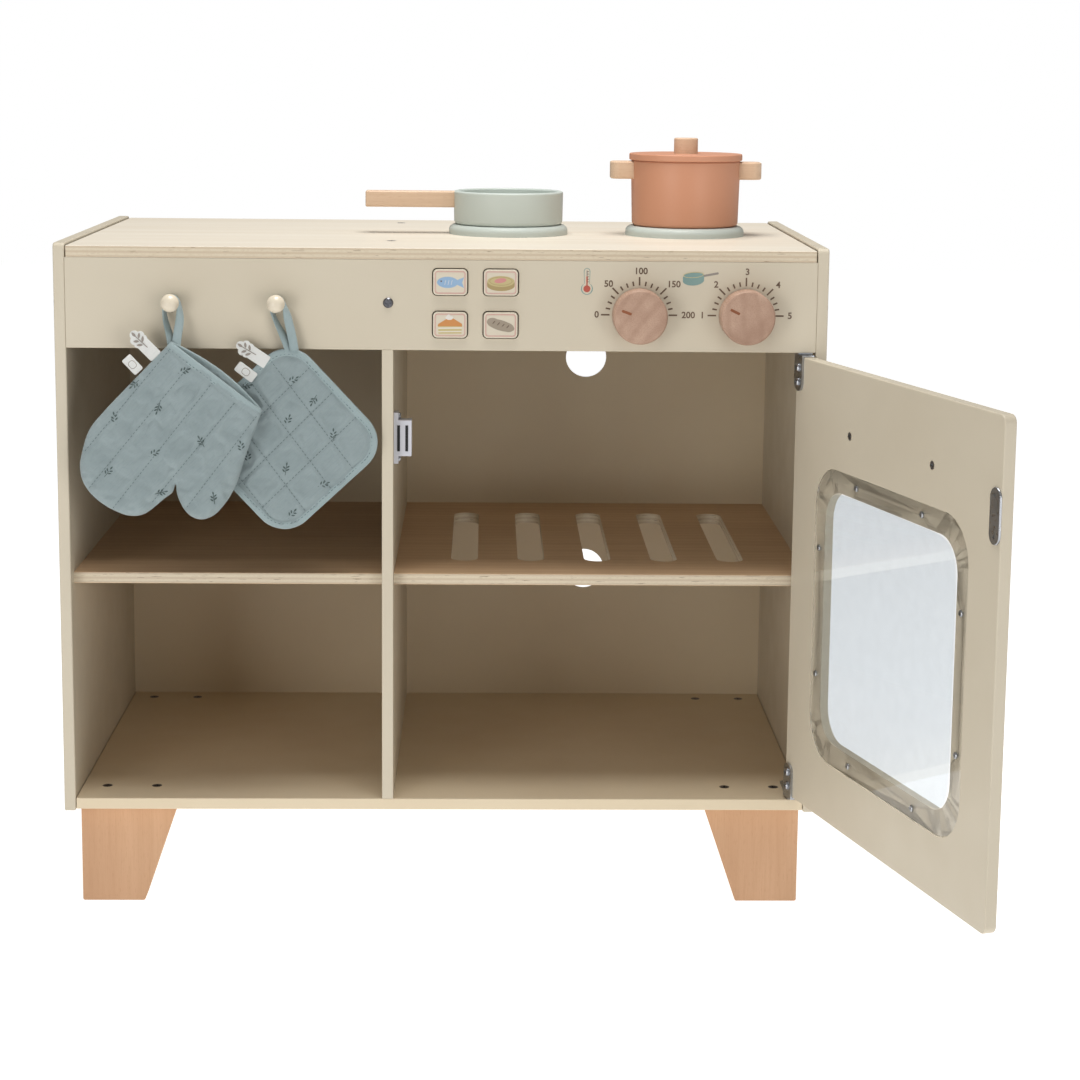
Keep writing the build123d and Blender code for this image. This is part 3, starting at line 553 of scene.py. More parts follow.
def addMesh(name, points, faces, materials, body, indices=None, smooth=True):
    mesh = bpy.data.meshes.new(name)
    mesh.from_pydata([tuple(p) for p in points], [], faces)
    for material in materials:
        mesh.materials.append(material)
    if indices is not None:
        mesh.polygons.foreach_set("material_index", indices)
    mesh.polygons.foreach_set("use_smooth", [smooth] * len(mesh.polygons))
    mesh.update()
    obj = addObject(name, mesh)
    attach(obj, body)
    return obj


def turned(x, z, u, v, tilt):
    return x + u * math.cos(tilt) - v * math.sin(tilt), z + u * math.sin(tilt) + v * math.cos(tilt)


def oval(x, z, wide, tall, turn=0.0, count=28, start=0.0, end=360.0):
    tilt = math.radians(turn)
    points = []
    steps = count if end - start >= 360 else count - 1
    for i in range(count):
        angle = math.radians(start + (end - start) * i / steps)
        u, v = wide * math.cos(angle), tall * math.sin(angle)
        points.append(turned(x, z, u, v, tilt))
    return points


def roundedBox(x, z, wide, tall, radius, turn=0.0, count=6):
    tilt = math.radians(turn)
    points = []
    for corner in range(4):
        sideX, sideZ = ((1, 1), (-1, 1), (-1, -1), (1, -1))[corner]
        for i in range(count):
            angle = math.radians(90 * corner + 90 * i / (count - 1))
            u = sideX * (wide / 2 - radius) + radius * math.cos(angle)
            v = sideZ * (tall / 2 - radius) + radius * math.sin(angle)
            points.append(turned(x, z, u, v, tilt))
    return points


def bar(x0, z0, x1, z1, wide):
    length = math.hypot(x1 - x0, z1 - z0)
    turn = math.degrees(math.atan2(z1 - z0, x1 - x0))
    return roundedBox((x0 + x1) / 2, (z0 + z1) / 2, length, wide, wide * 0.35, turn, 4)


def addPrint(name, body, faceY, marks, thick=0.05, at=(0, 0), side=-1):
    # marks are (ink, layer, outline) or (ink, layer, outline, inner outline), in millimetres;
    # faceY is the printed face's y, or what gives it at (x, z)
    points, faces, indices, used = [], [], [], []
    for ink, layer, outline, *inner in marks:
        if ink not in used:
            used.append(ink)
        lift = side * (0.06 + layer * 0.05) * mm
        base = len(points)
        n = len(outline)
        rims = [outline] + list(inner)
        for rim in rims:
            level = [(faceY(x, z) if callable(faceY) else faceY) * mm + lift for x, z in rim]
            for depth in (0, side * thick * mm):
                points += [((at[0] + x) * mm, y - depth, (at[1] + z) * mm) for (x, z), y in zip(rim, level)]
        made = []
        if not inner:
            made.append(tuple(range(base, base + n)))
            made.append(tuple(range(base + 2 * n - 1, base + n - 1, -1)))
        for i in range(n):
            j = (i + 1) % n
            made.append((base + i, base + n + i, base + n + j, base + j))
            if inner:
                made.append((base + i, base + j, base + 2 * n + j, base + 2 * n + i))
                made.append((base + n + j, base + n + i, base + 3 * n + i, base + 3 * n + j))
                made.append((base + 2 * n + j, base + 3 * n + j, base + 3 * n + i, base + 2 * n + i))
        faces += made if side < 0 else [face[::-1] for face in made]
        indices += [used.index(ink)] * len(made)
    return addMesh(name, points, faces, [inkOf[i] for i in used], body, indices, smooth=False)


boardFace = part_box("front_panel")[0].y / mm
dials = {
    "left": {
        "node": "knob_left",
        "labels": ((-33, 0, "0"), (-24, 24, "50"), (1, 34, "100"), (26.7, 24, "150"), (38.3, 0, "200")),
        "pointer": 20,
    },
    "right": {
        "node": "knob_right",
        "labels": ((-33.8, 0, "1"), (-23.4, 24, "2"), (0.8, 34, "3"), (24.9, 24, "4"), (34.5, 0, "5")),
        "pointer": 26,
    },
}
tickLook = {"ticks": 17, "inner": 23.0, "minor": 3.5, "major": 6.6, "wide": 1.15, "deep": 0.12, "figure": 7.0}


def nodeInput(tree, label, kind, value):
    socket = tree.interface.new_socket(label, in_out="INPUT", socket_type="NodeSocket" + kind)
    socket.default_value = value
    return socket


def newGrower(name, counts, lengths, look, stuff):
    # a Geometry Nodes tree whose named inputs start from the values of a look
    tree = bpy.data.node_groups.new(name, "GeometryNodeTree")
    tree.interface.new_socket("Geometry", in_out="INPUT", socket_type="NodeSocketGeometry")
    for label, key in counts:
        nodeInput(tree, label, "Int", look[key])
    for label, key in lengths:
        nodeInput(tree, label, "Float", look[key] * mm)
    tree.interface.new_socket(stuff, in_out="INPUT", socket_type="NodeSocketMaterial")
    tree.interface.new_socket("Geometry", in_out="OUTPUT", socket_type="NodeSocketGeometry")
    return tree, tree.nodes.new("NodeGroupInput"), tree.nodes.new("NodeGroupOutput")


def copiesAt(tree, points, piece, turn, sizes, stuff, out):
    # one piece at every point, made real and given its material
    link = tree.links.new
    size = tree.nodes.new("ShaderNodeCombineXYZ")
    for axis, length in zip("XYZ", sizes):
        link(length, size.inputs[axis])
    placed = tree.nodes.new("GeometryNodeInstanceOnPoints")
    for label, node in (("Points", points), ("Instance", piece), ("Rotation", turn), ("Scale", size)):
        link(node.outputs[0], placed.inputs[label])
    real = tree.nodes.new("GeometryNodeRealizeInstances")
    link(placed.outputs[0], real.inputs[0])
    inked = tree.nodes.new("GeometryNodeSetMaterial")
    link(real.outputs[0], inked.inputs["Geometry"])
    link(stuff, inked.inputs["Material"])
    link(inked.outputs[0], out.inputs["Geometry"])


def makeTickTree():
    lengths = (("Inner Radius", "inner"), ("Minor Length", "minor"), ("Major Length", "major"),
               ("Width", "wide"), ("Depth", "deep"))
    tree, given, out = newGrower("dialTicks", (("Ticks", "ticks"),), lengths, tickLook, "Ink")
    link = tree.links.new
    row = tree.nodes.new("GeometryNodeMeshLine")
    link(given.outputs["Ticks"], row.inputs["Count"])
    index = tree.nodes.new("GeometryNodeInputIndex").outputs[0]
    steps = maths(tree, "SUBTRACT", given.outputs["Ticks"], 1.0)
    angle = maths(tree, "MULTIPLY", maths(tree, "DIVIDE", index, steps), math.pi)
    isMinor = maths(tree, "GREATER_THAN", maths(tree, "MODULO", index, 4.0), 0.5)
    lengthGap = maths(tree, "SUBTRACT", given.outputs["Minor Length"], given.outputs["Major Length"])
    length = maths(tree, "ADD", given.outputs["Major Length"], maths(tree, "MULTIPLY", isMinor, lengthGap))
    radius = maths(tree, "ADD", given.outputs["Inner Radius"], maths(tree, "MULTIPLY", length, 0.5))
    spot = tree.nodes.new("ShaderNodeCombineXYZ")
    link(maths(tree, "MULTIPLY", maths(tree, "COSINE", angle, 0.0), radius), spot.inputs["X"])
    link(maths(tree, "MULTIPLY", maths(tree, "SINE", angle, 0.0), radius), spot.inputs["Z"])
    moved = tree.nodes.new("GeometryNodeSetPosition")
    link(row.outputs[0], moved.inputs["Geometry"])
    link(spot.outputs[0], moved.inputs["Position"])
    turn = tree.nodes.new("ShaderNodeCombineXYZ")
    link(maths(tree, "MULTIPLY", angle, -1.0), turn.inputs["Y"])
    tick = tree.nodes.new("GeometryNodeMeshCube")
    sizes = (length, given.outputs["Depth"], given.outputs["Width"])
    copiesAt(tree, moved, tick, turn, sizes, given.outputs["Ink"], out)
    return tree


def grown(name, mesh, tree, values, place=(0, 0, 0)):
    # runs a Geometry Nodes tree on a mesh and keeps its result as a plain mesh
    holder = addObject(name + "Seed", mesh)
    modifier = holder.modifiers.new("grow", "NODES")
    modifier.node_group = tree
    for item in tree.interface.items_tree:
        if item.item_type == "SOCKET" and item.in_out == "INPUT" and item.name in values:
            modifier[item.identifier] = values[item.name]
    bpy.context.view_layer.update()
    ready = holder.evaluated_get(bpy.context.evaluated_depsgraph_get())
    result = bpy.data.meshes.new_from_object(ready)
    bpy.data.objects.remove(holder)
    result.transform(Matrix.Translation(place))
    result.name = name
    obj = addObject(name, result)
    return obj


tickTree = makeTickTree()


def addFigure(text, x, z, size, y):
    curve = bpy.data.curves.new("figure", "FONT")
    curve.body = text
    curve.size = size * mm
    curve.align_x = "CENTER"
    curve.align_y = "CENTER"
    curve.extrude = 0.04 * mm
    curve.offset = 0.14 * mm  # a bolder stroke
    curve.resolution_u = 4
    holder = addObject("figure", curve)
    bpy.context.view_layer.update()
    mesh = bpy.data.meshes.new_from_object(holder.evaluated_get(bpy.context.evaluated_depsgraph_get()))
    bpy.data.objects.remove(holder)
    upright = Matrix.Rotation(math.pi / 2, 4, "X")
    mesh.transform(Matrix.Translation((x * mm, y * mm, z * mm)) @ upright)
    return mesh


def joinMeshes(name, meshes, material, body):
    whole = bmesh.new()
    for mesh in meshes:
        whole.from_mesh(mesh)
    result = bpy.data.meshes.new(name)
    whole.to_mesh(result)
    whole.free()
    result.materials.clear()
    result.materials.append(material)
    obj = addObject(name, result)
    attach(obj, body)
    return obj


def addDials():
    figures = []
    for side, dial in dials.items():
        low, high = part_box(dial["node"])
        x, z = (low.x + high.x) / 2 / mm, (low.z + high.z) / 2 / mm
        ticks = grown("dialTicks_" + side, bpy.data.meshes.new("seed"), tickTree,
                      {"Ink": inkOf["brownInk"]}, (x * mm, (boardFace - 0.04) * mm, z * mm))
        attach(ticks, "cabinet")
        for dx, dz, text in dial["labels"]:
            figures.append(addFigure(text, x + dx, z + dz, tickLook["figure"], boardFace - 0.06))
        turn = math.radians(180 - dial["pointer"])
        near, far = 7.5, 15.5
        mark = bar(x + near * math.cos(turn), z + near * math.sin(turn),
                   x + far * math.cos(turn), z + far * math.sin(turn), 2.1)
        addPrint("pointer_" + side, side + "_dial", low.y / mm, [("pointerInk", 0, mark)])
    joinMeshes("dialFigures", figures, inkOf["brownInk"], "cabinet")


addDials()


def addPanelPrints():
    glass = {"x": 71.4, "z": 510.5}  # thermometer
    x, z = glass["x"], glass["z"]
    outline = oval(x, z - 6.4, 4.6, 4.6, 0, 30, 118, 422) + oval(x, z + 7.2, 2.5, 2.5, 0, 14, 0, 180)
    inner = [(x + (px - x) * 0.84, z + (pz - z) * 0.955) for px, pz in outline]
    marks = [("tealInk", 0, outline, inner),
             ("redInk", 0, oval(x, z - 6.4, 2.7, 2.7)),
             ("redInk", 1, bar(x, z - 5, x, z + 3.4, 1.0)),
             ("greyInk", 0, bar(x, z + 3.6, x, z + 7.8, 0.8))]
    marks += [("brownInk", 1, bar(x + 0.1, z - 1 + 2 * i, x + 1.5, z - 1 + 2 * i, 0.35)) for i in range(5)]
    px, pz = 154.0, 512.6  # little pan
    marks += [("greyInk", 0, bar(px + 7, pz + 2.0, px + 19.5, pz + 4.4, 1.7)),
              ("tealInk", 1, oval(px, pz - 1.4, 8.3, 3.9, 4)),
              ("tealInk", 2, roundedBox(px, pz + 0.4, 16.4, 4.6, 1.5, 4)),
              ("sandInk", 3, oval(px, pz + 2.9, 8.0, 2.3, 4), oval(px, pz + 2.9, 7.5, 1.9, 4)),
              ("tealInk", 3, oval(px, pz + 2.8, 7.4, 1.8, 4))]
    addPrint("panelPrints", "cabinet", boardFace, marks)


addPanelPrints()


def capBorder(ink):
    frameOut, frameIn = roundedBox(0, 0, 23.6, 17.4, 2.2), roundedBox(0, 0, 22.9, 16.7, 1.9)
    fineOut, fineIn = roundedBox(0, 0, 22.2, 16.0, 1.6), roundedBox(0, 0, 21.9, 15.7, 1.5)
    return [(ink, 0, frameOut, frameIn), (ink, 0, fineOut, fineIn)]


fishMarks = [("blueInk", 0, oval(-1.6, 0, 6.6, 3.5)),
             ("blueInk", 1, [(3.6, 1.1), (3.6, -1.1), (8.6, -3.4), (7.4, 0), (8.6, 3.2)]),
             ("brownInk", 2, oval(-5.6, 0.7, 0.5, 0.5, 0, 10))]
fishMarks += [("whiteInk", 1, bar(-3.4 + 2 * i, -1.6, -2.7 + 2 * i, 1.4, 0.25)) for i in range(3)]
biscuitMarks = [("tanInk", 0, oval(0, -1.8, 8.6, 3.4)), ("tanInk", 1, roundedBox(0, -0.6, 17.2, 2.6, 0.6)),
                ("sandInk", 2, oval(0, 0.8, 8.5, 3.4)),
                ("tanInk", 3, oval(0, 1.0, 7.2, 2.7), oval(0, 1.0, 6.8, 2.4)),
                ("pinkInk", 3, oval(-0.3, 1.3, 3.8, 1.5, 8))]
cakeMarks = [("sandInk", 0, [(-7.2, -5.6), (7.2, -5.4), (7.4, -0.6), (-7.4, -0.6)]),
             ("whiteInk", 1, [(-7.3, -2.4), (7.3, -2.2), (7.3, -1.4), (-7.3, -1.6)]),
             ("whiteInk", 1, [(-7.2, -4.5), (7.2, -4.2), (7.2, -3.7), (-7.2, -4.0)]),
             ("orangeInk", 1, [(-7.8, -0.8), (7.7, -0.8), (7.4, 0.8), (1.6, 4.4), (-1.4, 4.3), (-7.3, 0.6)]),
             ("whiteInk", 2, oval(-0.4, 4.6, 2.4, 1.4)), ("whiteInk", 3, oval(-0.8, 5.8, 1.0, 1.0, 0, 14))]
breadMarks = [("breadInk", 0, oval(0, 0, 8.9, 3.3, -16)), ("breadInk", 1, oval(-4.4, 1.6, 4.2, 3.0, -16)),
              ("breadInk", 2, oval(4.2, -1.2, 4.2, 2.9, -16))]
breadMarks += [("brownInk", 3, oval(-4.2 + 2.9 * i, 1.9 - 0.9 * i, 1.3, 0.28, 48, 12)) for i in range(4)]
drawings = {"fish": fishMarks, "biscuit": biscuitMarks, "cake": cakeMarks, "bread": breadMarks}
drawingScale = 1.24
for button, marks in drawings.items():
    low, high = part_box("button_" + button)
    middle = ((low.x + high.x) / 2 / mm, (low.z + high.z) / 2 / mm)
    marks = [(ink, layer, *[[(drawingScale * x, drawingScale * z) for x, z in rim] for rim in rims])
             for ink, layer, *rims in marks]
    addPrint("drawing_" + button, button + "_button", low.y / mm, capBorder("pinkInk") + marks,
             at=middle)
print("prints on the panel and buttons")


def flowing(points, step, closed=False):
    # a smooth line through the points, sampled at about one step
    pts = [np.array(p, float) for p in points]
    n = len(pts)
    spans = n if closed else n - 1
    made = []
    for i in range(spans):
        if closed:
            a, b, c, d = pts[i - 1], pts[i], pts[(i + 1) % n], pts[(i + 2) % n]
        else:
            b, c = pts[i], pts[i + 1]
            a = pts[i - 1] if i else 2 * b - c
            d = pts[i + 2] if i + 2 < n else 2 * c - b
        count = max(1, int(round(np.linalg.norm(c - b) / step)))
        for k in range(count):
            t = k / count
            made.append(0.5 * (2 * b + (c - a) * t + (2 * a - 5 * b + 4 * c - d) * t * t
                               + (3 * b - a - 3 * c + d) * t ** 3))
    if not closed:
        made.append(pts[-1])
    return made


def reach(points, path):
    # how far each point is from a line of straight runs
    points, path = np.asarray(points, float), np.asarray(path, float)
    best = np.full(len(points), 1e9)
    for a, b in zip(path[:-1], path[1:]):
        run = b - a
        share = np.clip(((points - a) @ run) / max(run @ run, 1e-12), 0, 1)
        best = np.minimum(best, np.linalg.norm(points - (a + share[:, None] * run), axis=1))
    return best


def within(points, loop):
    points, loop = np.asarray(points, float), np.asarray(loop, float)
    hits = np.zeros(len(points), bool)
    for a, b in zip(loop, np.roll(loop, -1, axis=0)):
        crosses = (a[1] > points[:, 1]) != (b[1] > points[:, 1])
        rise = b[1] - a[1] if abs(b[1] - a[1]) > 1e-12 else 1e-12
        hits ^= crosses & (points[:, 0] < (b[0] - a[0]) * (points[:, 1] - a[1]) / rise + a[0])
    return hits


def quiltPad(name, look, seam, cuff, quilt, middle, levels):
    # a closed quilted pad: both faces are held along the seams and quilt lines and puff up between them
    cell = look["cell"]
    loop = np.array(seam + cuff, float)
    ring = np.vstack([loop, loop[:1]])
    points = [tuple(p) for p in loop]
    edges = [(i, (i + 1) % len(loop)) for i in range(len(loop))]
    runs = []
    for line in quilt:
        line = np.array(flowing(line, cell * 0.9), float)
        keep = within(line, loop) & (reach(line, ring) > cell * 0.45)
        line = line[keep]
        runs.append(line)
        start = len(points)
        points += [tuple(p) for p in line]
        edges += [(start + i, start + i + 1) for i in range(len(line) - 1)]
    low, high = loop.min(0), loop.max(0)
    grid, row = [], 0
    z = low[1]
    while z < high[1]:
        x = low[0] + (cell / 2 if row % 2 else 0)
        while x < high[0]:
            grid.append((x, z))
            x += cell
        z += cell * 0.866
        row += 1
    grid = np.array(grid)
    keep = within(grid, loop) & (reach(grid, ring) > cell * 0.6)
    for line in runs:
        if len(line) > 1:
            keep &= reach(grid, line) > cell * 0.55
    points += [tuple(p) for p in grid[keep]]
    rim = [list(range(len(loop)))]
    flat, _, faces, *_ = delaunay_2d_cdt([Vector(p) for p in points], edges, rim, 1, 1e-5)
    flat = np.array([tuple(p) for p in flat], float)
    onRim = reach(flat, ring) < 0.05
    held = onRim.copy()
    for line in runs:
        if len(line) > 1:
            held |= reach(flat, line) < 0.05
    y = middle(flat)
    n = len(flat)
    half = np.where(onRim, look["rim"], np.where(held, look["channel"], look["channel"] + 0.9))
    front = np.column_stack([flat[:, 0], y - half, flat[:, 1]])
    back = np.column_stack([flat[:, 0], y + half, flat[:, 1]])
    made = []
    for face in faces:
        a, b, c = (flat[i] for i in face[:3])
        if (b[0] - a[0]) * (c[1] - a[1]) - (b[1] - a[1]) * (c[0] - a[0]) < 0:
            face = face[::-1]
        made.append(tuple(face))
        made.append(tuple(i + n for i in reversed(face)))
    used = {}
    for face in made[::2]:
        for a, b in zip(face, face[1:] + face[:1]):
            used[(a, b)] = True
    for a, b in list(used):
        if (b, a) not in used:
            made.append((b, a, a + n, b + n))
    mesh = bpy.data.meshes.new(name)
    mesh.from_pydata([tuple(p * mm) for p in np.vstack([front, back])], [], made)
    mesh.update()
    obj = addObject(name, mesh)
    plump(obj, [i for i in range(2 * n) if held[i % n]], look)
    smooth = obj.modifiers.new("smooth", "SUBSURF")
    smooth.levels = smooth.render_levels = levels
    bpy.context.view_layer.update()
    ready = obj.evaluated_get(bpy.context.evaluated_depsgraph_get())
    result = bpy.data.meshes.new_from_object(ready)
    obj.modifiers.clear()
    obj.data = result
    crumple(result, look)
    result.polygons.foreach_set("use_smooth", [True] * len(result.polygons))
    return obj, [line for line in runs if len(line) > 1]


def plump(obj, held, look):
    group = obj.vertex_groups.new(name="held")
    group.add(held, 1.0, "REPLACE")
    rest = np.array([v.co for v in obj.data.vertices])
    cloth = obj.modifiers.new("puff", "CLOTH")
    use = cloth.settings
    use.quality = 6
    use.mass = 0.12
    use.tension_stiffness = use.compression_stiffness = 12
    use.shear_stiffness = 4
    use.bending_stiffness = look["bending"]
    use.vertex_group_mass = "held"
    use.shrink_min = -look["spare"]
    use.use_pressure = True
    use.uniform_pressure_force = look["pressure"]
    use.effector_weights.gravity = 0
    cloth.collision_settings.use_collision = False
    cloth.point_cache.frame_start = 1
    cloth.point_cache.frame_end = 20
    scene = bpy.context.scene
    for step in range(1, 21):
        scene.frame_set(step)
    ready = obj.evaluated_get(bpy.context.evaluated_depsgraph_get())
    puffed = np.array([v.co for v in ready.data.vertices])
    obj.modifiers.clear()
    scene.frame_set(1)
    move = puffed - rest
    size = np.linalg.norm(move, axis=1, keepdims=True)
    cap = look["cap"] * mm
    move *= np.where(size > cap, cap / np.maximum(size, 1e-9), 1)
    obj.data.vertices.foreach_set("co", (rest + move).ravel())
    obj.data.update()
    obj.vertex_groups.clear()
    print(obj.name, "puffed by up to", round(float(size.max()) / mm, 2), "mm")


def crumple(mesh, look):
    # soft creases across the cloth, on top of the puffs
    deep = look["crease"] * mm
    for v in mesh.vertices:
        place = v.co * 38
        place.x += place.z * 0.35
        v.co.y += deep * (noise.noise(Vector((place.x * 1.3, v.co.y * 20, place.z * 0.55)))
                          + 0.45 * noise.noise(place * 2.6))


def groundOf(obj, side=-1):
    # the y of the cloth's front (side -1) or back (side 1) at a place
    mesh = obj.data
    tree = BVHTree.FromPolygons([v.co for v in mesh.vertices], [tuple(p.vertices) for p in mesh.polygons])
    average = sum(v.co.y for v in mesh.vertices) / len(mesh.vertices) / mm

    def ground(x, z):
        hit = tree.ray_cast(Vector((x * mm, side * 0.3, z * mm)), Vector((0, -side, 0)))[0]
        return average if hit is None else hit.y / mm
    return ground


def addRibbon(name, body, keys, wide, thick, material):
    # keys are (dx, y, dz, width direction) at each point of the strap
    both = flowing([np.concatenate(k) for k in keys], 1.3)
    path = [p[:3] for p in both]
    sides = [p[3:] for p in both]
    points, faces = [], []
    half, deep, soft = wide / 2, thick / 2, thick * 0.3
    section = [(-half, -deep + soft), (-half + soft, -deep), (half - soft, -deep), (half, -deep + soft),
               (half, deep - soft), (half - soft, deep), (-half + soft, deep), (-half, deep - soft)]
    for i, place in enumerate(path):
        ahead = path[min(i + 1, len(path) - 1)] - path[max(i - 1, 0)]
        ahead /= np.linalg.norm(ahead)
        across = sides[i] - ahead * (sides[i] @ ahead)
        across /= np.linalg.norm(across)
        out = np.cross(across, ahead)
        points += [tuple((place + across * u + out * v) * mm) for u, v in section]
    n = len(section)
    for i in range(len(path) - 1):
        for k in range(n):
            a, b = i * n + k, i * n + (k + 1) % n
            faces.append((a, b, b + n, a + n))
    last = (len(path) - 1) * n
    faces += [tuple(range(n))[::-1], tuple(range(last, last + n))]
    obj = addMesh(name, points, faces, [material], body)
    fixOutward(obj.data)
    return obj


def fixOutward(mesh):
    shape = bmesh.new()
    shape.from_mesh(mesh)
    bmesh.ops.recalc_face_normals(shape, faces=shape.faces)
    shape.to_mesh(mesh)
    shape.free()


def addBinding(name, body, path, inward, wide, thick, closed, material):
    # a folded strip over a raw edge; path is (x, y, z) in millimetres,
    # inward the unit direction in the x-z plane from the edge into the cloth
    section = []
    for i in range(16):
        angle = 2 * math.pi * i / 16
        u, v = math.cos(angle), math.sin(angle)
        section.append((math.copysign(abs(u) ** 0.45, u) * wide / 2,
                        math.copysign(abs(v) ** 0.6, v) * thick / 2))
    points, faces = [], []
    for i, place in enumerate(path):
        wave = noise.noise(Vector((i * 0.55, 3.1, 0.4))) * 0.16
        rib = noise.noise(Vector((i * 1.7, 8.1, 2.4))) * 0.10
        way = np.array((inward[i][0], 0, inward[i][1]))
        for u, v in section:
            middle = place + way * (wide / 2 - 0.9 + u * (1 + wave * 0.25))
            points.append(tuple((middle + np.array((0, v * (1 + wave + rib), 0))) * mm))
    n, rows = len(section), len(path)
    for i in range(rows if closed else rows - 1):
        for k in range(n):
            j = (i + 1) % rows
            faces.append((i * n + k, i * n + (k + 1) % n, j * n + (k + 1) % n, j * n + k))
    if not closed:
        faces += [tuple(range(n)), tuple(range((rows - 1) * n, rows * n))]
    obj = addMesh(name, points, faces, [material], body)
    fixOutward(obj.data)
    return obj


stitchLook = {"length": 2.3, "gap": 0.9, "thick": 0.5}


def makeStitchTree():
    lengths = (("Stitch Length", "length"), ("Gap", "gap"), ("Thread Width", "thick"))
    tree, given, out = newGrower("stitchRow", (), lengths, stitchLook, "Thread")
    link = tree.links.new
    line = tree.nodes.new("GeometryNodeMeshToCurve")
    link(given.outputs["Geometry"], line.inputs["Mesh"])
    spaced = tree.nodes.new("GeometryNodeResampleCurve")
    spaced.mode = "LENGTH"
    link(line.outputs[0], spaced.inputs["Curve"])
    link(maths(tree, "ADD", given.outputs["Stitch Length"], given.outputs["Gap"]), spaced.inputs["Length"])
    tangent = tree.nodes.new("GeometryNodeInputTangent")
    turn = tree.nodes.new("FunctionNodeAlignRotationToVector")
    turn.axis = "X"
    link(tangent.outputs[0], turn.inputs["Vector"])
    stitch = tree.nodes.new("GeometryNodeMeshIcoSphere")
    stitch.inputs["Radius"].default_value = 0.5
    stitch.inputs["Subdivisions"].default_value = 1
    thread = given.outputs["Thread Width"]
    sizes = (given.outputs["Stitch Length"], thread, thread)
    copiesAt(tree, spaced, stitch, turn, sizes, given.outputs["Thread"], out)
    return tree


stitchTree = makeStitchTree()


def sewn(name, body, rows):
    # rows are lists of (x, y, z) in millimetres
    points, edges = [], []
    for row in rows:
        start = len(points)
        points += [tuple(np.array(p) * mm) for p in row]
        edges += [(start + i, start + i + 1) for i in range(len(row) - 1)]
    mesh = bpy.data.meshes.new(name)
    mesh.from_pydata(points, edges, [])
    obj = grown(name, mesh, stitchTree, {"Thread": seamThread})
    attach(obj, body)
    return obj


def onCloth(line, ground, lift):
    return [(x, ground(x, z) + lift, z) for x, z in flowing(line, 1.6)]


leafShape = ((0, 0), (0.25, 0.38), (0.55, 0.5), (0.82, 0.3),
             (1, 0), (0.82, -0.3), (0.55, -0.5), (0.25, -0.38))


def leaf(x, z, length, wide, turn):
    tilt = math.radians(turn)
    return [turned(x, z, length * u, wide * v, tilt) for u, v in leafShape]


def sprig(x, z, turn, size=1.0):
    # a stem with two pairs of leaves and one at its tip
    tilt = math.radians(turn)

    def at(u, v):
        return turned(x, z, size * u, size * v, tilt)

    foot, tip = at(0.3, -5.0), at(0, 2.4)
    marks = [("sprig", 0, bar(*foot, *tip, 0.38 * size))]
    for height, length in ((-2.2, 2.9), (0.1, 2.7)):
        for side in (-1, 1):
            px, pz = at(0.35 * side, height + 0.5 * side)
            marks.append(("sprig", 1, leaf(px, pz, length * size, 1.15 * size, turn + 90 - side * 50)))
    px, pz = at(0, 2.0)
    marks.append(("sprig", 1, leaf(px, pz, 2.8 * size, 1.25 * size, turn + 90)))
    return marks


inkOf["sprig"] = sprigInk
inkOf["label"] = labelCloth
inkOf["labelInk"] = inkOf["greyInk"]

mittLook = {
    "hook": (-249.0, 492.0),
    "fingers": [(0.7, -29.5), (-25, -56), (-51.4, -83.7), (-63, -98.7), (-68.8, -117), (-70.3, -128),
                (-67, -141), (-57.5, -152.5), (-45, -160.6), (-33, -165), (-22, -164), (-12.5, -157.5),
                (-4.5, -150.5), (1.2, -146.5), (3.2, -139)],
    "thumb": [(3.2, -139), (4.6, -149.5), (9.8, -160.4), (16.4, -166.2), (24.7, -167.6), (34.6, -162.9),
              (44.6, -150.4), (51.2, -137), (56.6, -120.4), (61.6, -106), (66.9, -91.5), (70.2, -82.8)],
    "quilt": [((2, -33), (-69, -118)), ((16, -46.5), (-66, -146.5)), ((33, -60), (-48, -162.5)),
              ((49.2, -76.2), (-14, -153)), ((66, -86.5), (9, -161.5))],
    "sprigs": [(12, -50.7, -70), (-8.7, -80.3, 160), (-42.3, -87.8, 10), (-47.3, -129.2, -40),
               (-11.7, -114.5, -60), (23.9, -105, 25), (54.5, -109.5, 12), (33, -149.5, 5),
               (-7.1, -145.7, -80), (-27, -62, 130)],
    "middleY": -35.2,
    "bulge": 4.2,  # how far each half stands off the seam plane
    "cuffStep": 5.0,  # how far the back of the cuff rises past the front
    "rim": 0.8,
    "channel": 0.9,
    "cell": 3.2,
    "cap": 3.2,
    "pressure": 4.0,
    "bending": 0.25,
    "spare": 0.05,
    "crease": 0.55,
    "hem": 6.3,
    "hemThick": 3.6,
    "loop": [((4.5, -33.5, -36), (1, 0.1, 0)), ((5.4, -30.5, -26), (1, 0.25, 0)),
             ((6.9, -25.5, -13), (0.75, 0.6, 0.1)), ((5.9, -19.7, -1.5), (0.15, 1, 0)),
             ((3.4, -19.2, 3.6), (0, 1, 0)), ((0, -19.2, 4.9), (0, 1, 0)), ((-3.4, -19.2, 3.4), (0, 1, 0)),
             ((-5.6, -19.4, -3), (0.1, 1, 0)), ((-4.4, -23, -13), (0.35, 0.95, 0)),
             ((-0.6, -28.5, -25), (0.7, 0.7, 0)), ((2.0, -31.5, -36), (1, 0.3, 0))],
    "loopWide": 6.8,
    "loopThick": 1.3,
}


def shifted(points, hook):
    return [np.array((p[0] + hook[0], p[1] + hook[1])) for p in points]


def dressPad(pad, body):
    pad.data.materials.clear()
    pad.data.materials.append(tealCloth)
    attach(pad, body)


sprigLook = {"size": 1.05, "turnBehind": 40}


